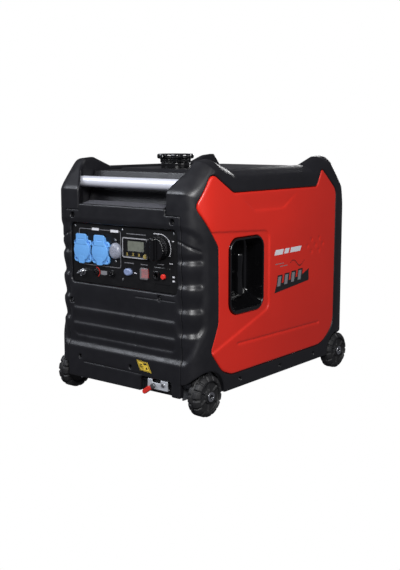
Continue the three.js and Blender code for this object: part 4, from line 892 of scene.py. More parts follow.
def dish_field(x, y, z):
    """The starter's pocket. Its floor slopes up and inwards, and its lip sits in the panel."""
    wall = dish_outline(y, z, 0)
    floor_x = DISH_LOW[0] + 3
    outside = within(wall, span(x, DISH_LOW[0], SIDE - 0.3), 2)
    slope = (DISH_LOW[2] + 5 + 0.62 * (SIDE - x) - z) / math.hypot(1, 0.62)
    hollow = within(within(wall + 4, floor_x - x, 9), slope, 6)
    lip = within(span(dish_outline(y, z, 0), -4, 0), span(x, SIDE - 3, SIDE + 0.9), 1.2)
    rope_hole = within(disc(y, z, (GRIP_Y, GRIP_Z), 4), x - floor_x - 1)
    return union(minus(minus(outside, hollow, 3), rope_hole, 0.5), lip, 1)


def make_starter():
    dish = carve("starter_dish", dish_field, DISH_LOW, DISH_HIGH, (1, 1, 1))
    finish_piece(thin_out(dish, 0.5), GLOSS, "root", "gloss_black", "recess_dish")
    grip = carve("starter_grip", grip_field, GRIP_LOW, GRIP_HIGH, 0.8)
    finish_piece(grip, GLOSS, "recoil_grip", "black_plastic", "recoil_grip")


ROPE_START = 20
ROPE_RADIUS = 2.5


def make_rope():
    """A cord of many short links, running straight out to the grip."""
    start, end = ROPE_START, GRIP_LOW[0] + 4
    links, turns = 60, 16
    vertices, faces = [], []
    for i in range(links + 1):
        x = start + (end - start) * i / links
        for k in range(turns):
            angle = 2 * math.pi * k / turns
            swell = ROPE_RADIUS * (1 + 0.05 * math.sin(6 * angle + i))
            vertices.append((x, GRIP_Y + swell * math.cos(angle), GRIP_Z + swell * math.sin(angle)))
    for i in range(links):
        for k in range(turns):
            a, b = i * turns + k, i * turns + (k + 1) % turns
            faces.append([a, b, b + turns, a + turns])
    faces.append(list(range(turns))[::-1])
    faces.append(list(range(links * turns, (links + 1) * turns)))
    piece = make_mesh("starter_cord", *facing_out(vertices, faces))
    piece.data.materials.append(CORD)
    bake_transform(piece)
    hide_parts("recoil_rope")


CAP_LOW, CAP_HIGH = extents("fuel_cap_knob")


def cap_field(x, y, z):
    """A flat knob with eight lobes over a narrower lobed skirt."""
    away = np.sqrt((x - CAP_CENTRE[0]) ** 2 + (y - CAP_CENTRE[1]) ** 2)
    angle = np.arctan2(y - CAP_CENTRE[1], x - CAP_CENTRE[0])
    lobe = (0.5 + 0.5 * np.cos(8 * angle)) ** 0.6
    crown = within(away - 32.5 - 5.4 * lobe, span(z, CAP_HIGH[2] - 10, CAP_HIGH[2]), 4)
    skirt = within(away - 26 - 5.5 * lobe, span(z, CAP_LOW[2], CAP_HIGH[2] - 6), 1.5)
    shape = union(crown, skirt, 2)
    return minus(shape, within(abs(away - 21) - 1.2, CAP_HIGH[2] - 0.9 - z), 0.8)


def make_cap():
    knob = carve("fuel_cap_top", cap_field, CAP_LOW, CAP_HIGH, 0.8)
    finish_piece(thin_out(knob, 0.6), GLOSS, "fuel_cap_knob", "black_plastic", "fuel_cap_knob")
    low = extents("fuel_cap_plug")[0]
    outline = [
        (low[2], 0), (low[2], 26, 2), (DECK_Z - 1.5, 26, 0.3), (DECK_Z - 1.5, 30, 1),
        (CAP_LOW[2] - 0.4, 30, 1), (CAP_LOW[2] - 0.4, 0),
    ]
    plug = lathe("fuel_cap_plug_piece", outline, (*CAP_CENTRE, 0), 2)
    finish_piece(plug, GLOSS, "fuel_cap_plug", "zinc_plate", "fuel_cap_plug")


make_handles()
make_starter()
make_rope()
make_cap()

# ---------------------------------------------------------------- wheels

TYRE_INNER = WHEEL_INNER + 8
WHEEL_WIDTH = WHEEL_OUTER - TYRE_INNER
LUGS = 14
LUG_DEPTH = 3.2
SPOKES = 6
COLLAR_RADIUS = 12
ROD_RADIUS = 6
HEAD_START = WHEEL_OUTER - 2.4


def wheel_field(x, y, z):
    """A wheel about the origin, with its outer face at the highest x."""
    away = np.sqrt(y * y + z * z)
    angle = np.arctan2(z, y) / (2 * math.pi) * LUGS
    middle = TYRE_INNER + WHEEL_WIDTH / 2
    outer_row = x > middle
    phase = np.mod(angle + np.where(outer_row, 0.5, 0.0), 1.0)
    gap = np.clip(abs(phase - 0.5) * 2, 0, 1)
    across = abs(x - middle)
    cut = LUG_DEPTH * (1 - ease(0.12, 0.34, gap)) * ease(1.5, 4, across)
    cut = cut + 2.2 * (1 - ease(0.6, 2.2, across))
    half = WHEEL_WIDTH / 2
    shoulder = 6 * ease(half - 9, half, across) ** 2
    tyre = within(away - WHEEL_RADIUS + cut + shoulder, across - half, 2.5)
    for side, depth in ((1, 6), (-1, 4)):
        dish = within(away - 29, half - depth - (x - middle) * side)
        tyre = minus(tyre, dish, 3)
    turn = np.mod(np.arctan2(z, y) / (2 * math.pi) * SPOKES, 1.0)
    depth = span(x, WHEEL_OUTER - 12, WHEEL_OUTER - 3.5)
    rib = within(within((abs(turn - 0.5) - 0.09) * away, away - 30), depth, 1.5)
    hub = within(away - 13, span(x, TYRE_INNER, WHEEL_OUTER - 2.6), 1.5)
    tyre = union(union(tyre, hub, 2), rib, 2)
    return minus(tyre, away - 6.4)


def axle_head_field(x, y, z):
    """The outer end of an axle, with a hexagonal socket."""
    away = np.sqrt(y * y + z * z)
    head = within(away - 9.8, span(x, HEAD_START, AXLE_END), 1.2)
    hexagon = -1e3
    for k in range(3):
        angle = math.radians(60 * k)
        hexagon = np.maximum(hexagon, abs(y * math.cos(angle) + z * math.sin(angle)) - 4.6)
    return minus(head, within(hexagon, HEAD_START + 1.4 - x), 0.5)


def make_wheels():
    reach = WHEEL_RADIUS
    vertices, faces = net_of(wheel_field, (TYRE_INNER, -reach, -reach), (WHEEL_OUTER, reach, reach), 0.95)
    head, head_faces = net_of(axle_head_field, (HEAD_START, -10, -10), (AXLE_END, 10, 10), 0.4)
    for end, wheel_y in zip(("front", "rear"), WHEEL_Y):
        at = np.array((0, wheel_y, AXLE_Z))
        for side in ("right", "left"):
            name = f"wheel_{end}_{side}"
            piece = make_mesh(f"{name}_tyre", vertices + at, faces, side == "left")
            finish_piece(thin_out(piece, 0.5), RUBBER, name, "wheel_rubber", name)
            cap = make_mesh(f"{end}_{side}_axle_head", head + at, head_faces, side == "left")
            finish_piece(cap, SCREW, "root", "steel", f"{end}_axle")
            sign = 1 if side == "right" else -1
            ring = spool(sign * (WHEEL_INNER + 0.5), sign * (TYRE_INNER - 0.6), COLLAR_RADIUS, 1)
            collar = lathe(f"{end}_{side}_collar", ring, at, 0, 40)
            finish_piece(collar, ZINC, "root", "zinc_plate")
        half = WHEEL_OUTER - 1
        rod = lathe(f"{end}_axle_rod", spool(-half, half, ROD_RADIUS, 1), at, 0)
        finish_piece(rod, STEEL, "root", "steel", f"{end}_axle")


make_wheels()

# ---------------------------------------------------------------- control plate

PLATE_LOW = (RECESS_LOW[0] + 0.6, RECESS_LOW[1] + 0.6)
PLATE_HIGH = (RECESS_HIGH[0] - 0.6, RECESS_HIGH[1] - 0.6)
SOCKETS = (-107, -57)
SOCKET_Z = 302
WELL_RADIUS = 19.5
LID_RADIUS = 21.8
LID_BACK = PLATE_Y - 5.6
LID_FRONT = PLATE_Y - 9.2
LID_HINGE = (PLATE_Y - 8.3, SOCKET_Z + 31)
AC_BREAKER = (-18.5, 306)
DISPLAY_LOW, DISPLAY_HIGH = (2.5, 295.5), (68.5, 336)
SCREEN_LOW, SCREEN_HIGH = (15, 310), (57, 329)
DISPLAY_BUTTON = (62, 301.5)
SWITCH = (94.5, 319.5)
START = (14, 267.5)
ROCKER = (57, 268)
DC_SOCKET = (87, 267.5)
DC_BREAKER = (104, 266.5)
DC_PLATE = ((79, 251), (121, 283))
GROUND = (-110, 257)
POSTS = ((-73, 259.5), (-30, 259.5))
PROUD = 27  # how far any control stands in front of the plate
BEHIND = 16  # and how far it reaches behind


def around(place, across, up=None):
    """Corners (x, z) of a box that reaches across and up from a place on the plate."""
    up = up or across
    return (place[0] - across, place[1] - up), (place[0] + across, place[1] + up)


def plate_field(x, y, z):
    """The plate, its raised surrounds, and the holes behind every control."""
    sheet = within(round_rect(x, z, PLATE_LOW, PLATE_HIGH, 9), span(y, PLATE_Y, PLATE_Y + 3), 1)
    raised = within(round_rect(x, z, *DC_PLATE, 3), span(y, PLATE_Y - 0.9, PLATE_Y + 1), 0.8)
    shape = union(sheet, raised, 0.5)
    for socket in SOCKETS:
        shape = minus(shape, disc(x, z, (socket, SOCKET_Z), WELL_RADIUS))
    for place, radius in ((DISPLAY_BUTTON, 5.2), (DC_BREAKER, 6), (DC_SOCKET, 5)):
        shape = minus(shape, disc(x, z, place, radius))
    shape = minus(shape, disc(x, AC_BREAKER[1] + (z - AC_BREAKER[1]) / 1.16, AC_BREAKER, 14.5))
    shape = minus(shape, disc(x, START[1] + (z - START[1]) / 0.72, START, 10.6))
    shape = minus(shape, round_rect(x, z, *around(ROCKER, 9.2, 10.8), 2))
    return minus(shape, disc(x, z, SWITCH, 10))


def socket_body_field(x, y, z):
    """A square flange with cut corners round the well, and a cup behind it. x is from its middle."""
    square = round_rect(x, z, (-24, SOCKET_Z - 25), (24, SOCKET_Z + 21), 8)
    neck = round_rect(x, z, (-12.5, SOCKET_Z), (12.5, SOCKET_Z + 29), 2)
    flange = within(union(square, neck, 3), span(y, PLATE_Y - 5, PLATE_Y - 0.1), 1.6)
    waist = within(round_rect(abs(x), z, (20.6, SOCKET_Z - 9), (32, SOCKET_Z + 10), 3), y - PLATE_Y)
    flange = minus(flange, waist, 1.5)
    for corner in ((19, SOCKET_Z - 19), (19, SOCKET_Z + 15)):
        hole = within(disc(abs(x), z, corner, 2), y - PLATE_Y + 2.2)
        flange = minus(flange, hole, 0.5)
    cup = within(disc(x, z, (0, SOCKET_Z), 19.3), span(y, PLATE_Y - 3, PLATE_Y + 15))
    shape = union(flange, cup)
    shape = minus(shape, within(disc(x, z, (0, SOCKET_Z), 18), y - PLATE_Y - 13), 0.8)
    for side in (-9.5, 9.5):
        shape = minus(shape, within(disc(x, z, (side, SOCKET_Z), 2.4), y - PLATE_Y - 30), 0.3)
    return shape


def lid_field(x, y, z):
    """A slightly domed flap with a block up to its hinge and a tab below. x is from its middle."""
    away = disc(x, z, (0, SOCKET_Z), 0)
    dome = 1.2 * ease(0, 21, away) ** 2
    rise = z - SOCKET_Z
    flap = within(away - LID_RADIUS, span(y, LID_FRONT + dome, LID_BACK), 1.6)
    tab = within(round_rect(x, rise, (-8, -27), (8, -12), 3), span(y, LID_FRONT + 0.6, LID_BACK), 1.2)
    block = within(round_rect(x, rise, (-14.5, 12), (14.5, 32.5), 2.5), span(y, LID_FRONT, LID_BACK), 1.6)
    barrel = within(disc(y, z, LID_HINGE, 2.4), abs(x) - 11, 0.8)
    shape = union(union(flap, tab, 1.5), union(block, barrel, 1), 1.5)
    seam = groove(abs(rise - 22), 1.8, 0.8)
    return within(shape, LID_FRONT + seam * (abs(x) < 9) - y)


def knob_field(x, y, z):
    """The engine switch: a fluted disc with a finger bar across it, upright at rest."""
    u, v = x - SWITCH[0], z - SWITCH[1]
    away = np.sqrt(u * u + v * v)
    flute = 0.5 * np.cos(30 * np.arctan2(v, u))
    front = PLATE_Y - 18
    base = within(away - 22.4 + flute * ease(16, 22, away), span(y, front, PLATE_Y - 0.4), 2.2)
    outline = round_rect(u, v, (-4.5, -21.5), (4.5, 21.5), 4)
    finger_bar = within(outline, span(y, PLATE_Y - 25, front + 2), 2.5)
    stem = within(away - 9.4, span(y, front, PLATE_Y + 4))
    return union(union(base, finger_bar, 3), stem)


def display_field(x, y, z):
    front = PLATE_Y - 5
    frame_box = within(round_rect(x, z, DISPLAY_LOW, DISPLAY_HIGH, 3), span(y, front, PLATE_Y - 0.1), 1.4)
    inner_low = (DISPLAY_LOW[0] + 3.4, DISPLAY_LOW[1] + 3.4)
    inner_high = (DISPLAY_HIGH[0] - 3.4, DISPLAY_HIGH[1] - 3.4)
    sunk = within(round_rect(x, z, inner_low, inner_high, 2), y - front - 1.6)
    window = within(round_rect(x, z, SCREEN_LOW, SCREEN_HIGH, 1), y - front - 2.6)
    hole = disc(x, z, DISPLAY_BUTTON, 5.2)
    return minus(minus(minus(frame_box, sunk, 0.8), window, 0.4), hole)


def rocker_field(x, y, z):
    """A two-way rocker, pressed in at its lower half."""
    u, v = x - ROCKER[0], z - ROCKER[1]
    block = within(round_rect(u, v, (-8.3, -8.8), (8.3, 8.8), 1), span(y, PLATE_Y - 2, PLATE_Y + 6), 0.8)
    hollow = 0.9 * (1 - ease(0, 8.8, abs(v)))
    return within(block, PLATE_Y - 2.2 + hollow - y)


def rocker_cover_field(x, y, z):
    """A thin clear rubber boot over the rocker, open behind."""
    outline = round_rect(x, z, *around(ROCKER, 10.2, 11.8), 4)
    outside = within(outline, span(y, PLATE_Y - 5.5, PLATE_Y - 0.1), 3)
    inside = within(outline + 0.8, span(y, PLATE_Y - 4.8, PLATE_Y + 3), 3)
    return minus(outside, inside)


def terminal_field(x, y, z):
    """An earth stud with a washer and a wing nut."""
    u, v = x - GROUND[0], z - GROUND[1]
    away = np.sqrt(u * u + v * v)
    stud = within(away - 2.8, span(y, PLATE_Y - 14, PLATE_Y + 1), 0.8)
    washer = within(away - 7, span(y, PLATE_Y - 1.5, PLATE_Y - 0.1), 0.5)
    collar = within(away - 5.2, span(y, PLATE_Y - 8, PLATE_Y - 1), 1.2)
    turn = math.radians(24)
    along, across = u * math.cos(turn) + v * math.sin(turn), v * math.cos(turn) - u * math.sin(turn)
    blade = within(abs(across) - 1.3, disc(abs(along), y, (6.6, PLATE_Y - 8), 4.2))
    wing = within(blade, abs(along) - 10.8, 0.8)
    return union(union(union(stud, washer), collar, 1), wing, 1.2)


def post_field(x, y, z, place):
    u, v = x - place[0], z - place[1]
    away = np.sqrt(u * u + v * v)
    flute = 0.35 * np.cos(16 * np.arctan2(v, u))
    barrel = within(away - 5.4 + flute, span(y, PLATE_Y - 6, PLATE_Y - 0.1), 1)
    skirt = within(away - 8, span(y, PLATE_Y - 1.6, PLATE_Y - 0.1), 0.6)
    return minus(union(barrel, skirt, 0.6), within(away - 2, y - PLATE_Y + 1.5), 0.4)


def front_piece(name, shape, low, high, step, finish, body, slot, *nodes):
    """A piece on the control plate, carved between (x, z) corners."""
    depth = (PLATE_Y - PROUD, PLATE_Y + BEHIND)
    piece = carve(name, shape, (low[0], depth[0], low[1]), (high[0], depth[1], high[1]), step)
    return finish_piece(piece, finish, body, slot, *nodes)


def make_plate():
    front_piece("control_face", plate_field, PLATE_LOW, PLATE_HIGH, (0.8, 0.5, 0.8), PLATE_FINISH,
                "root", "black_plastic", "control_plate")
    for number, middle in enumerate(SOCKETS, 1):
        def shifted(shape):
            return lambda x, y, z: shape(x - middle, y, z)
        low, high = (middle - 25, SOCKET_Z - 28), (middle + 25, SOCKET_Z + 35)
        front_piece(f"socket_{number}", shifted(socket_body_field), low, high, 0.65, BLUE,
                    "root", "blue_plastic", f"socket_body_{number}")
        front_piece(f"socket_lid_{number}_flap", shifted(lid_field), low, high, 0.5, BLUE,
                    f"socket_lid_{number}", "blue_plastic", f"socket_lid_{number}")
    front_piece("switch_knob", knob_field, *around(SWITCH, 24), 0.55, GLOSS, "engine_switch_knob",
                "black_plastic", "engine_switch_knob")
    front_piece("display_frame", display_field, DISPLAY_LOW, DISPLAY_HIGH, 0.5, PLATE_FINISH, "root",
                "black_plastic", "display_module")
    near = around(ROCKER, 12, 13)
    front_piece("economy_switch", rocker_field, *near, 0.45, RED_TRIM, "economy_rocker", "red_plastic",
                "economy_rocker")
    front_piece("economy_boot", rocker_cover_field, *near, 0.45, CLEAR, "root", "clear_cover")
    front_piece("earth_terminal", terminal_field, *around(GROUND, 12), 0.4, SCREW, "root", "zinc_plate",
                "ground_terminal")
    for side, place in zip(("left", "right"), POSTS):
        front_piece(f"{side}_post", lambda x, y, z: post_field(x, y, z, place), *around(place, 9), 0.45,
                    GLOSS, "root", "black_plastic", "parallel_terminals")


def make_buttons():
    """Round controls turned about -Y. Each outline gives (height over the plate, radius, corner)."""
    breaker = [(-6, 0), (-6, 14, 1), (4, 14, 2), (8.5, 11, 3), (11, 0)]
    display = [(-5, 0), (-5, 4.5, 0.5), (6.4, 4.5, 1), (7, 0)]
    start = [(-4, 0), (-4, 10, 1), (3.4, 10, 1.2), (5, 7, 1.5), (4.2, 0)]
    dc_breaker = [(-4, 0), (-4, 5, 0.5), (4.5, 5, 1.6), (4.5, 0)]
    rows = [
        ("breaker_cap", AC_BREAKER, breaker, GREY_CAP, "ac_breaker_button", "clear_grey_cap", 1.16),
        ("display_key", DISPLAY_BUTTON, display, YELLOW, "display_button", "yellow_plastic", 1),
        ("start_key", START, start, BLUE_GREY, "start_button", "blue_grey_button", 0.72),
        ("dc_breaker_key", DC_BREAKER, dc_breaker, RED_TRIM, "dc_breaker_button", "red_plastic", 1),
    ]
    for name, place, outline, finish, body, slot, flat in rows:
        profile = [(-p[0], *p[1:]) for p in outline]
        piece = lathe(name, profile, (place[0], PLATE_Y, place[1]), 1, 48)
        if flat != 1:
            for vertex in piece.data.vertices:
                vertex.co.z = (place[1] + (vertex.co.z / MM - place[1]) * flat) * MM
        finish_piece(piece, finish, body, slot, body)


def dc_socket_field(x, y, z):
    """A square flap socket for the direct current outlet."""
    outline = round_rect(x, z, *around(DC_SOCKET, 7, 8.5), 2)
    square = within(outline, span(y, PLATE_Y - 4, PLATE_Y - 1), 1)
    return minus(square, within(disc(x, z, DC_SOCKET, 4.9), y - PLATE_Y - 3), 0.5)


def make_dc_socket():
    front_piece("dc_outlet", dc_socket_field, *around(DC_SOCKET, 9, 10), 0.5, GLOSS, "root", "black_plastic",
                "dc_socket")


make_plate()
make_buttons()
make_dc_socket()

# ---------------------------------------------------------------- prints, labels and screws


def front_plane(y):
    """Places (u, v, out) on a plane that faces -Y."""
    return lambda u, v, out: (u, y - out, v)


def side_plane(x):
    """Places (u, v, out) on a plane that faces +X."""
    return lambda u, v, out: (x + out, u, v)


def stamp(name, outlines, place, finish, slot, thickness=0.12):
    """Thin raised shapes, one for each flat outline."""
    vertices, faces = [], []
    for outline in outlines:
        area = sum(a[0] * b[1] - b[0] * a[1] for a, b in zip(outline, outline[1:] + outline[:1]))
        turned = outline if area > 0 else outline[::-1]
        count, first = len(turned), len(vertices)
        for out in (0, thickness):
            vertices += [place(u, v, out) for u, v in turned]
        faces.append([first + k for k in range(count)][::-1])
        faces.append([first + count + k for k in range(count)])
        for k in range(count):
            a, b = first + k, first + (k + 1) % count
            faces.append([a, b, b + count, a + count])
    piece = make_mesh(name, vertices, faces)
    piece.data.polygons.foreach_set("use_smooth", [False] * len(piece.data.polygons))
    return finish_piece(piece, finish, "root", slot)


def bar(u, v, length, height, lean=0.0):
    """A small block of print from its lower left corner."""
    return [(u, v), (u + length, v), (u + length + lean, v + height), (u + lean, v + height)]


def ribbon(points, width):
    """A line of print through points."""
    pieces = []
    for (u0, v0), (u1, v1) in zip(points, points[1:]):
        length = math.hypot(u1 - u0, v1 - v0)
        du, dv = -(v1 - v0) / length * width / 2, (u1 - u0) / length * width / 2
        pieces.append([(u0 - du, v0 - dv), (u1 - du, v1 - dv), (u1 + du, v1 + dv), (u0 + du, v0 + dv)])
    return pieces


def dot(u, v, radius, sides=12):
    angles = [2 * math.pi * k / sides for k in range(sides)]
    return [(u + radius * math.cos(a), v + radius * math.sin(a)) for a in angles]


def dashes(u, v, lengths, height, gap=0.8):
    """A row of small blocks that stands for a caption."""
    row = []
    for length in lengths:
        row.append(bar(u, v, length, height))
        u += length + gap
    return row


def loop(low, high, corner, width):
    outline = rounded([(*low, corner), (high[0], low[1], corner), (*high, corner), (low[0], high[1], corner)])
    return ribbon(outline + outline[:1], width)


def round_switch(angle):
    """A place beside the engine switch, by the angle from upright."""
    turn = math.radians(angle)
    return SWITCH[0] + 27.5 * math.sin(turn), SWITCH[1] + 27.5 * math.cos(turn)


def make_prints():
    face = front_plane(PLATE_Y)
    white = ribbon([round_switch(angle) for angle in range(-8, 122, 6)], 0.9)
    white += [dot(*round_switch(angle), 1.6) for angle in (-8, 56, 116)]
    white += dashes(80, 346, (2.5, 1.5, 2), 1.6)
    white += dashes(125, 334.5, (2, 1.6), 1.8)
    white += dashes(119, 292, (2.2, 1.4, 2), 1.6)
    white += [bar(126, 266.5, 5, 3), bar(126, 258.5, 5, 3), bar(29, 266, 7, 1.8), bar(-119, 248, 2.5, 1.6)]
    stamp("plate_marks", white, face, PRINT, "white_print")
    grey = loop((-120, 273), (-6, 345), 5, 1.1)
    grey += dashes(10, 341.5, (6, 4, 7, 3, 6, 5, 8, 4), 1.5, 0.9)
    grey += dashes(4, 284.5, (5, 6, 4, 7), 1.4) + dashes(46, 284.5, (6, 4, 6), 1.4)
    grey += dashes(88, 288.5, (5, 4, 6), 1.4)
    grey += [bar(-61, 255.5, 17, 8)]
    stamp("plate_captions", grey, face, GREY_PRINT, "white_print")
    stamp("socket_labels", [bar(-84, 343, 19, 5), bar(-33, 342, 21, 5)], face, PRINT, "white_print", 0.2)
    front = front_plane(PLATE_Y - 5)
    low = (DISPLAY_LOW[0] + 1.6, DISPLAY_LOW[1] + 1.6)
    high = (DISPLAY_HIGH[0] - 1.6, DISPLAY_HIGH[1] - 1.6)
    stamp("display_outline", loop(low, high, 2, 1.9), front, FRAME_PRINT, "white_print")
    glass = bar(*SCREEN_LOW, SCREEN_HIGH[0] - SCREEN_LOW[0], SCREEN_HIGH[1] - SCREEN_LOW[1])
    stamp("display_glass", [glass], front_plane(PLATE_Y - 2.5), LCD, "lcd_glass")
    icons = []
    for u in (14, 30, 45):
        icons += [bar(u - 1, 300.5, 2.2, 5.5), bar(u - 2.6, 300.5, 5.4, 1.5), bar(u - 2, 304.5, 4.2, 1.6)]
    stamp("display_icons", icons, front_plane(PLATE_Y - 3.3), YELLOW, "yellow_plastic")
    ring = [math.radians(a) for a in range(-60, 100, 10)]
    red = ribbon([(POSTS[0][0] + 9.5 * math.cos(a), POSTS[0][1] + 9.5 * math.sin(a)) for a in ring], 1.6)
    stamp("post_mark", red, face, RED_TRIM, "red_plastic")


def make_labels():
    skirt = front_plane(FRONT + 0.05)
    edge = [(41, 98.5), (69, 96.5), (79, 77.5), (50.5, 79.5)]
    stamp("front_label", [edge], skirt, LABEL, "yellow_label", 0.25)
    centre = (sum(p[0] for p in edge) / 4, sum(p[1] for p in edge) / 4)
    inner = [(centre[0] + (u - centre[0]) * 0.87, centre[1] + (v - centre[1]) * 0.87) for u, v in edge]
    black = ribbon(inner + inner[:1], 0.9)
    black += [bar(48, 90.5, 8, 1.4), bar(50, 86, 1.6, 6), bar(54, 83, 1.8, 8), bar(59, 91, 9, 3.2, -1.2)]
    black += [bar(50.5, 86, 8, 1.3), dot(67, 84.5, 2.3), bar(56.5, 82.4, 3.5, 1.2)]
    stamp("front_label_marks", black, front_plane(FRONT - 0.2), DARK_PRINT, "black_plastic")
    side = side_plane(SIDE - 0.05)
    stripes = [bar(-22, 287.5, 30, 11, 5), bar(14, 288, 16, 10.5, 5), bar(36, 288.2, 40, 10.5, 5)]
    stamp("side_stripes", stripes, side, PRINT, "white_print", 0.2)
    wave = []
    for k in range(13):
        u = 38 + 4.4 * k
        v = 264 + 7 * math.sin((u - 34) / 54 * 2 * math.pi)
        size = 1.6 + 1.6 * math.sin(math.pi * k / 12)
        wave.append(bar(u, v - size / 2, 2.8, size, 0.6))
    band = [(-20, 209), (112, 221), (112, 247), (84, 236), (-14, 225)]
    blocks = [bar(-14 + 26 * k, 219 + 1.6 * k, 19, 26, 5) for k in range(4)]
    stamp("side_wave", wave, side, DARK_PRINT, "black_plastic", 0.2)
    stamp("side_band", [band], side, DARK_PRINT, "black_plastic", 0.15)
    stamp("side_blocks", blocks, side, DARK_PRINT, "black_plastic", 0.25)
    inner = [bar(-10.5 + 26 * k, 222 + 1.6 * k, 11.5, 20, 4) for k in range(4)]
    stamp("side_block_fill", inner, side, GREY_PRINT, "white_print", 0.32)
    caption = dashes(-18, 268, (9, 12, 7), 1.6, 1.6) + dashes(0, 262, (12, 14), 1.6, 1.6)
    stamp("side_caption", caption, side, GREY_PRINT, "white_print", 0.2)


def screw_field(x, y, z):
    """A cross-head screw about the origin, with its head towards -Y."""
    away = np.sqrt(x * x + z * z)
    head = within(away - 1.0, span(y, -0.42 + 0.22 * away * away, 0.4), 0.2)
    cross = np.minimum(round_rect(x, z, (-0.55, -0.13), (0.55, 0.13), 0.05),
                       round_rect(x, z, (-0.13, -0.55), (0.13, 0.55), 0.05))
    return minus(head, within(cross, y - 0.1), 0.08)


PLATE_SCREWS = ((130, 349), (-130, 349), (0, 349), (-127, 252), (0, 251.5))
BREAKER_SCREWS = ((-20, 327.5), (-19, 285.5))


def make_screws():
    vertices, faces = net_of(screw_field, (-1, -0.45, -1), (1, 0.4, 1), 0.05)
    bright = [(x, PLATE_Y - 0.4, z, 2.0) for x, z in PLATE_SCREWS]
    bright += [(x, PLATE_Y - 0.4, z, 2.4) for x, z in BREAKER_SCREWS]
    sunk = [(x, FRONT + 8.4, z, 3.6) for x, z in FRONT_SCREWS]
    sunk += [(x, FRONT + 6.6, z, 3.0) for x, z in SKIRT_SCREWS]
    for name, finish, slot, places in (("plate_screw", SCREW, "screw_steel", bright),
                                       ("panel_screw", DARK_STEEL, "screw_steel", sunk)):
        for number, (x, y, z, size) in enumerate(places, 1):
            piece = make_mesh(f"{name}_{number}", vertices * size + (x, y, z), faces)
            finish_piece(piece, finish, "root", slot)


make_prints()
make_labels()
make_screws()

# ---------------------------------------------------------------- wheel brake and door latch

BRACKET_LOW, BRACKET_HIGH = extents("brake_bracket")
PIVOT = (84, 54)
LEVER_ANGLE = -2.53
LEVER_LENGTH = 25
LEVER_BACK = FRONT + 0.7
LEVER_FRONT = FRONT - 4.3


def on_lever(share):
    """A place along the lever's middle line."""
    reach = share * LEVER_LENGTH
    return PIVOT[0] + reach * math.cos(LEVER_ANGLE), PIVOT[1] + reach * math.sin(LEVER_ANGLE)


def bracket_field(x, y, z):
    face = FRONT + 1
    plate = within(round_rect(x, z, (68, 47), (119, 66), 1.5), span(y, face, face + 2.5), 0.6)
    notch = round_rect(x, z, (80, 60), (101, 72), 1.5)
    foot = within(round_rect(x, z, (70, 40), (117, 49), 1), span(y, face, BRACKET_HIGH[1]), 0.8)
    return union(minus(plate, notch, 0.6), within(foot, BRACKET_LOW[2] - z), 1)


def lever_field(x, y, z):
    """The lever's arm, without its coloured tip."""
    middle = line_distance(x, z, [PIVOT, on_lever(0.62)])[0]
    arm = within(middle - 3.2, span(y, LEVER_FRONT + 0.3, LEVER_BACK - 0.1), 1)
    boss = within(disc(x, z, PIVOT, 5), span(y, LEVER_FRONT, LEVER_BACK), 1)
    return union(arm, boss, 1)


def tip_field(x, y, z):
    middle = line_distance(x, z, [on_lever(0.4), on_lever(1)])[0]
    return within(middle - 4.8, span(y, LEVER_FRONT - 0.5, LEVER_BACK + 0.1), 1.4)


def make_brake():
    plate = carve("brake_plate", bracket_field, BRACKET_LOW, BRACKET_HIGH, 0.8)
    finish_piece(plate, BRIGHT_ZINC, "root", "zinc_plate", "brake_bracket")
    low, high = (50, FRONT - 6, 36), (92, FRONT + 2, 62)
    arm = carve("brake_arm", lever_field, low, high, 0.5)
    finish_piece(arm, STEEL, "brake_lever", "steel", "brake_lever")
    tip = carve("brake_tip", tip_field, low, high, 0.5)
    finish_piece(tip, RED_TRIM, "brake_lever", "red_plastic", "brake_lever")
    pin = [(0.6, 0), (0.6, 4, 0.8), (-1.8, 4, 0.6), (-2, 0)]
    finish_piece(lathe("brake_pin", pin, (108, FRONT + 0.8, 58), 1, 32), SCREW, "root", "screw_steel")


def make_latch():
    low, high = extents("service_door_latch")
    middle = (low + high) / 2
    inner, skin, outer = high[0], -SIDE - 0.3, low[0]
    outline = [(inner, 0), (inner, 5, 0.5), (skin, 5, 0.3), (skin, 9, 0.6), (outer, 8.4, 1), (outer, 0)]
    piece = lathe("door_latch", outline, (0, middle[1], middle[2]), 0, 48)
    finish_piece(piece, GLOSS, "service_door_latch", "black_plastic", "service_door_latch")


make_brake()
make_latch()

# ---------------------------------------------------------------- stage


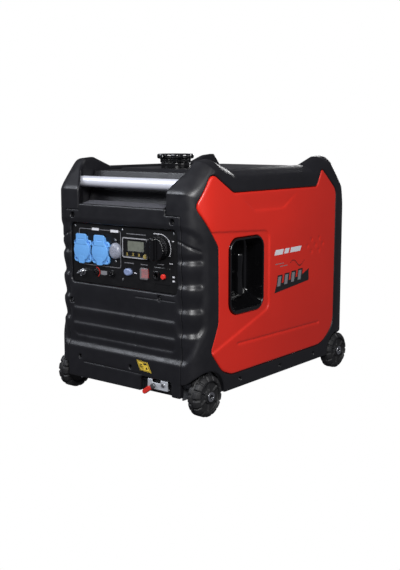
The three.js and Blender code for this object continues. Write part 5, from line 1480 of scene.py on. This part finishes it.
LIGHTS = [  # name, place, aim, size, watts and colour
    ("key", (-0.5, -2.4, 2.2), (0, -0.2, 0.3), (1.2, 0.8), 21, (0.96, 0.97, 1)),
    ("corner", (1.0, -1.0, 1.0), (0.17, -0.24, 0.4), (0.45, 0.45), 20, (1, 1, 1)),
    ("side", (2.6, 0.2, 1.0), (0.1, 0.1, 0.2), (1.2, 1.0), 8.5, (1, 1, 1)),
    ("bar", (-1.4, -1.7, 1.75), (0, -0.25, 0.44), (1.0, 0.6), 27, (0.88, 0.92, 1)),
    ("back", (-0.8, 2.8, 0.9), (0, 0, 0.45), (1.2, 0.8), 22, (1, 1, 1)),
]


def area_light(name, place, aim, size, power, colour):
    data = bpy.data.lights.new(name, "AREA")
    data.shape = "RECTANGLE"
    data.size, data.size_y = size
    data.energy = power
    data.color = colour
    light = bpy.data.objects.new(name, data)
    scene.collection.objects.link(light)
    light.location = place
    light.visible_camera = False
    light.rotation_euler = (Vector(aim) - Vector(place)).to_track_quat("-Z", "Y").to_euler()


def make_floor():
    mesh = bpy.data.meshes.new("floor")
    reach = 30
    corners = [(-reach, -reach, 0), (reach, -reach, 0), (reach, reach, 0), (-reach, reach, 0)]
    mesh.from_pydata(corners, [], [(0, 1, 2, 3)])
    floor = bpy.data.objects.new("floor", mesh)
    scene.collection.objects.link(floor)
    pale = bpy.data.materials.new("pale_floor")
    pale.use_nodes = True
    shader = pale.node_tree.nodes["Principled BSDF"]
    shader.inputs["Base Color"].default_value = (0, 0, 0, 1)
    shader.inputs["Roughness"].default_value = 0.9
    shader.inputs["Specular IOR Level"].default_value = 0
    shader.inputs["Emission Color"].default_value = (1, 1, 1, 1)
    shader.inputs["Emission Strength"].default_value = 1
    floor.data.materials.append(pale)
    floor.visible_glossy = False
    floor.visible_diffuse = False


def make_world():
    """A white backdrop that lights the object only dimly."""
    world = bpy.data.worlds.new("studio")
    world.use_nodes = True
    scene.world = world
    nodes, links = world.node_tree.nodes, world.node_tree.links
    background = nodes["Background"]
    ray = nodes.new("ShaderNodeLightPath")
    mix = nodes.new("ShaderNodeMix")
    mix.data_type = "RGBA"
    mix.inputs[6].default_value = (0.10, 0.10, 0.112, 1)
    mix.inputs[7].default_value = (1, 1, 1, 1)
    links.new(ray.outputs["Is Camera Ray"], mix.inputs[0])
    links.new(mix.outputs[2], background.inputs["Color"])


make_floor()
make_world()
for light in LIGHTS:
    area_light(*light)
scene.view_settings.view_transform = "Standard"
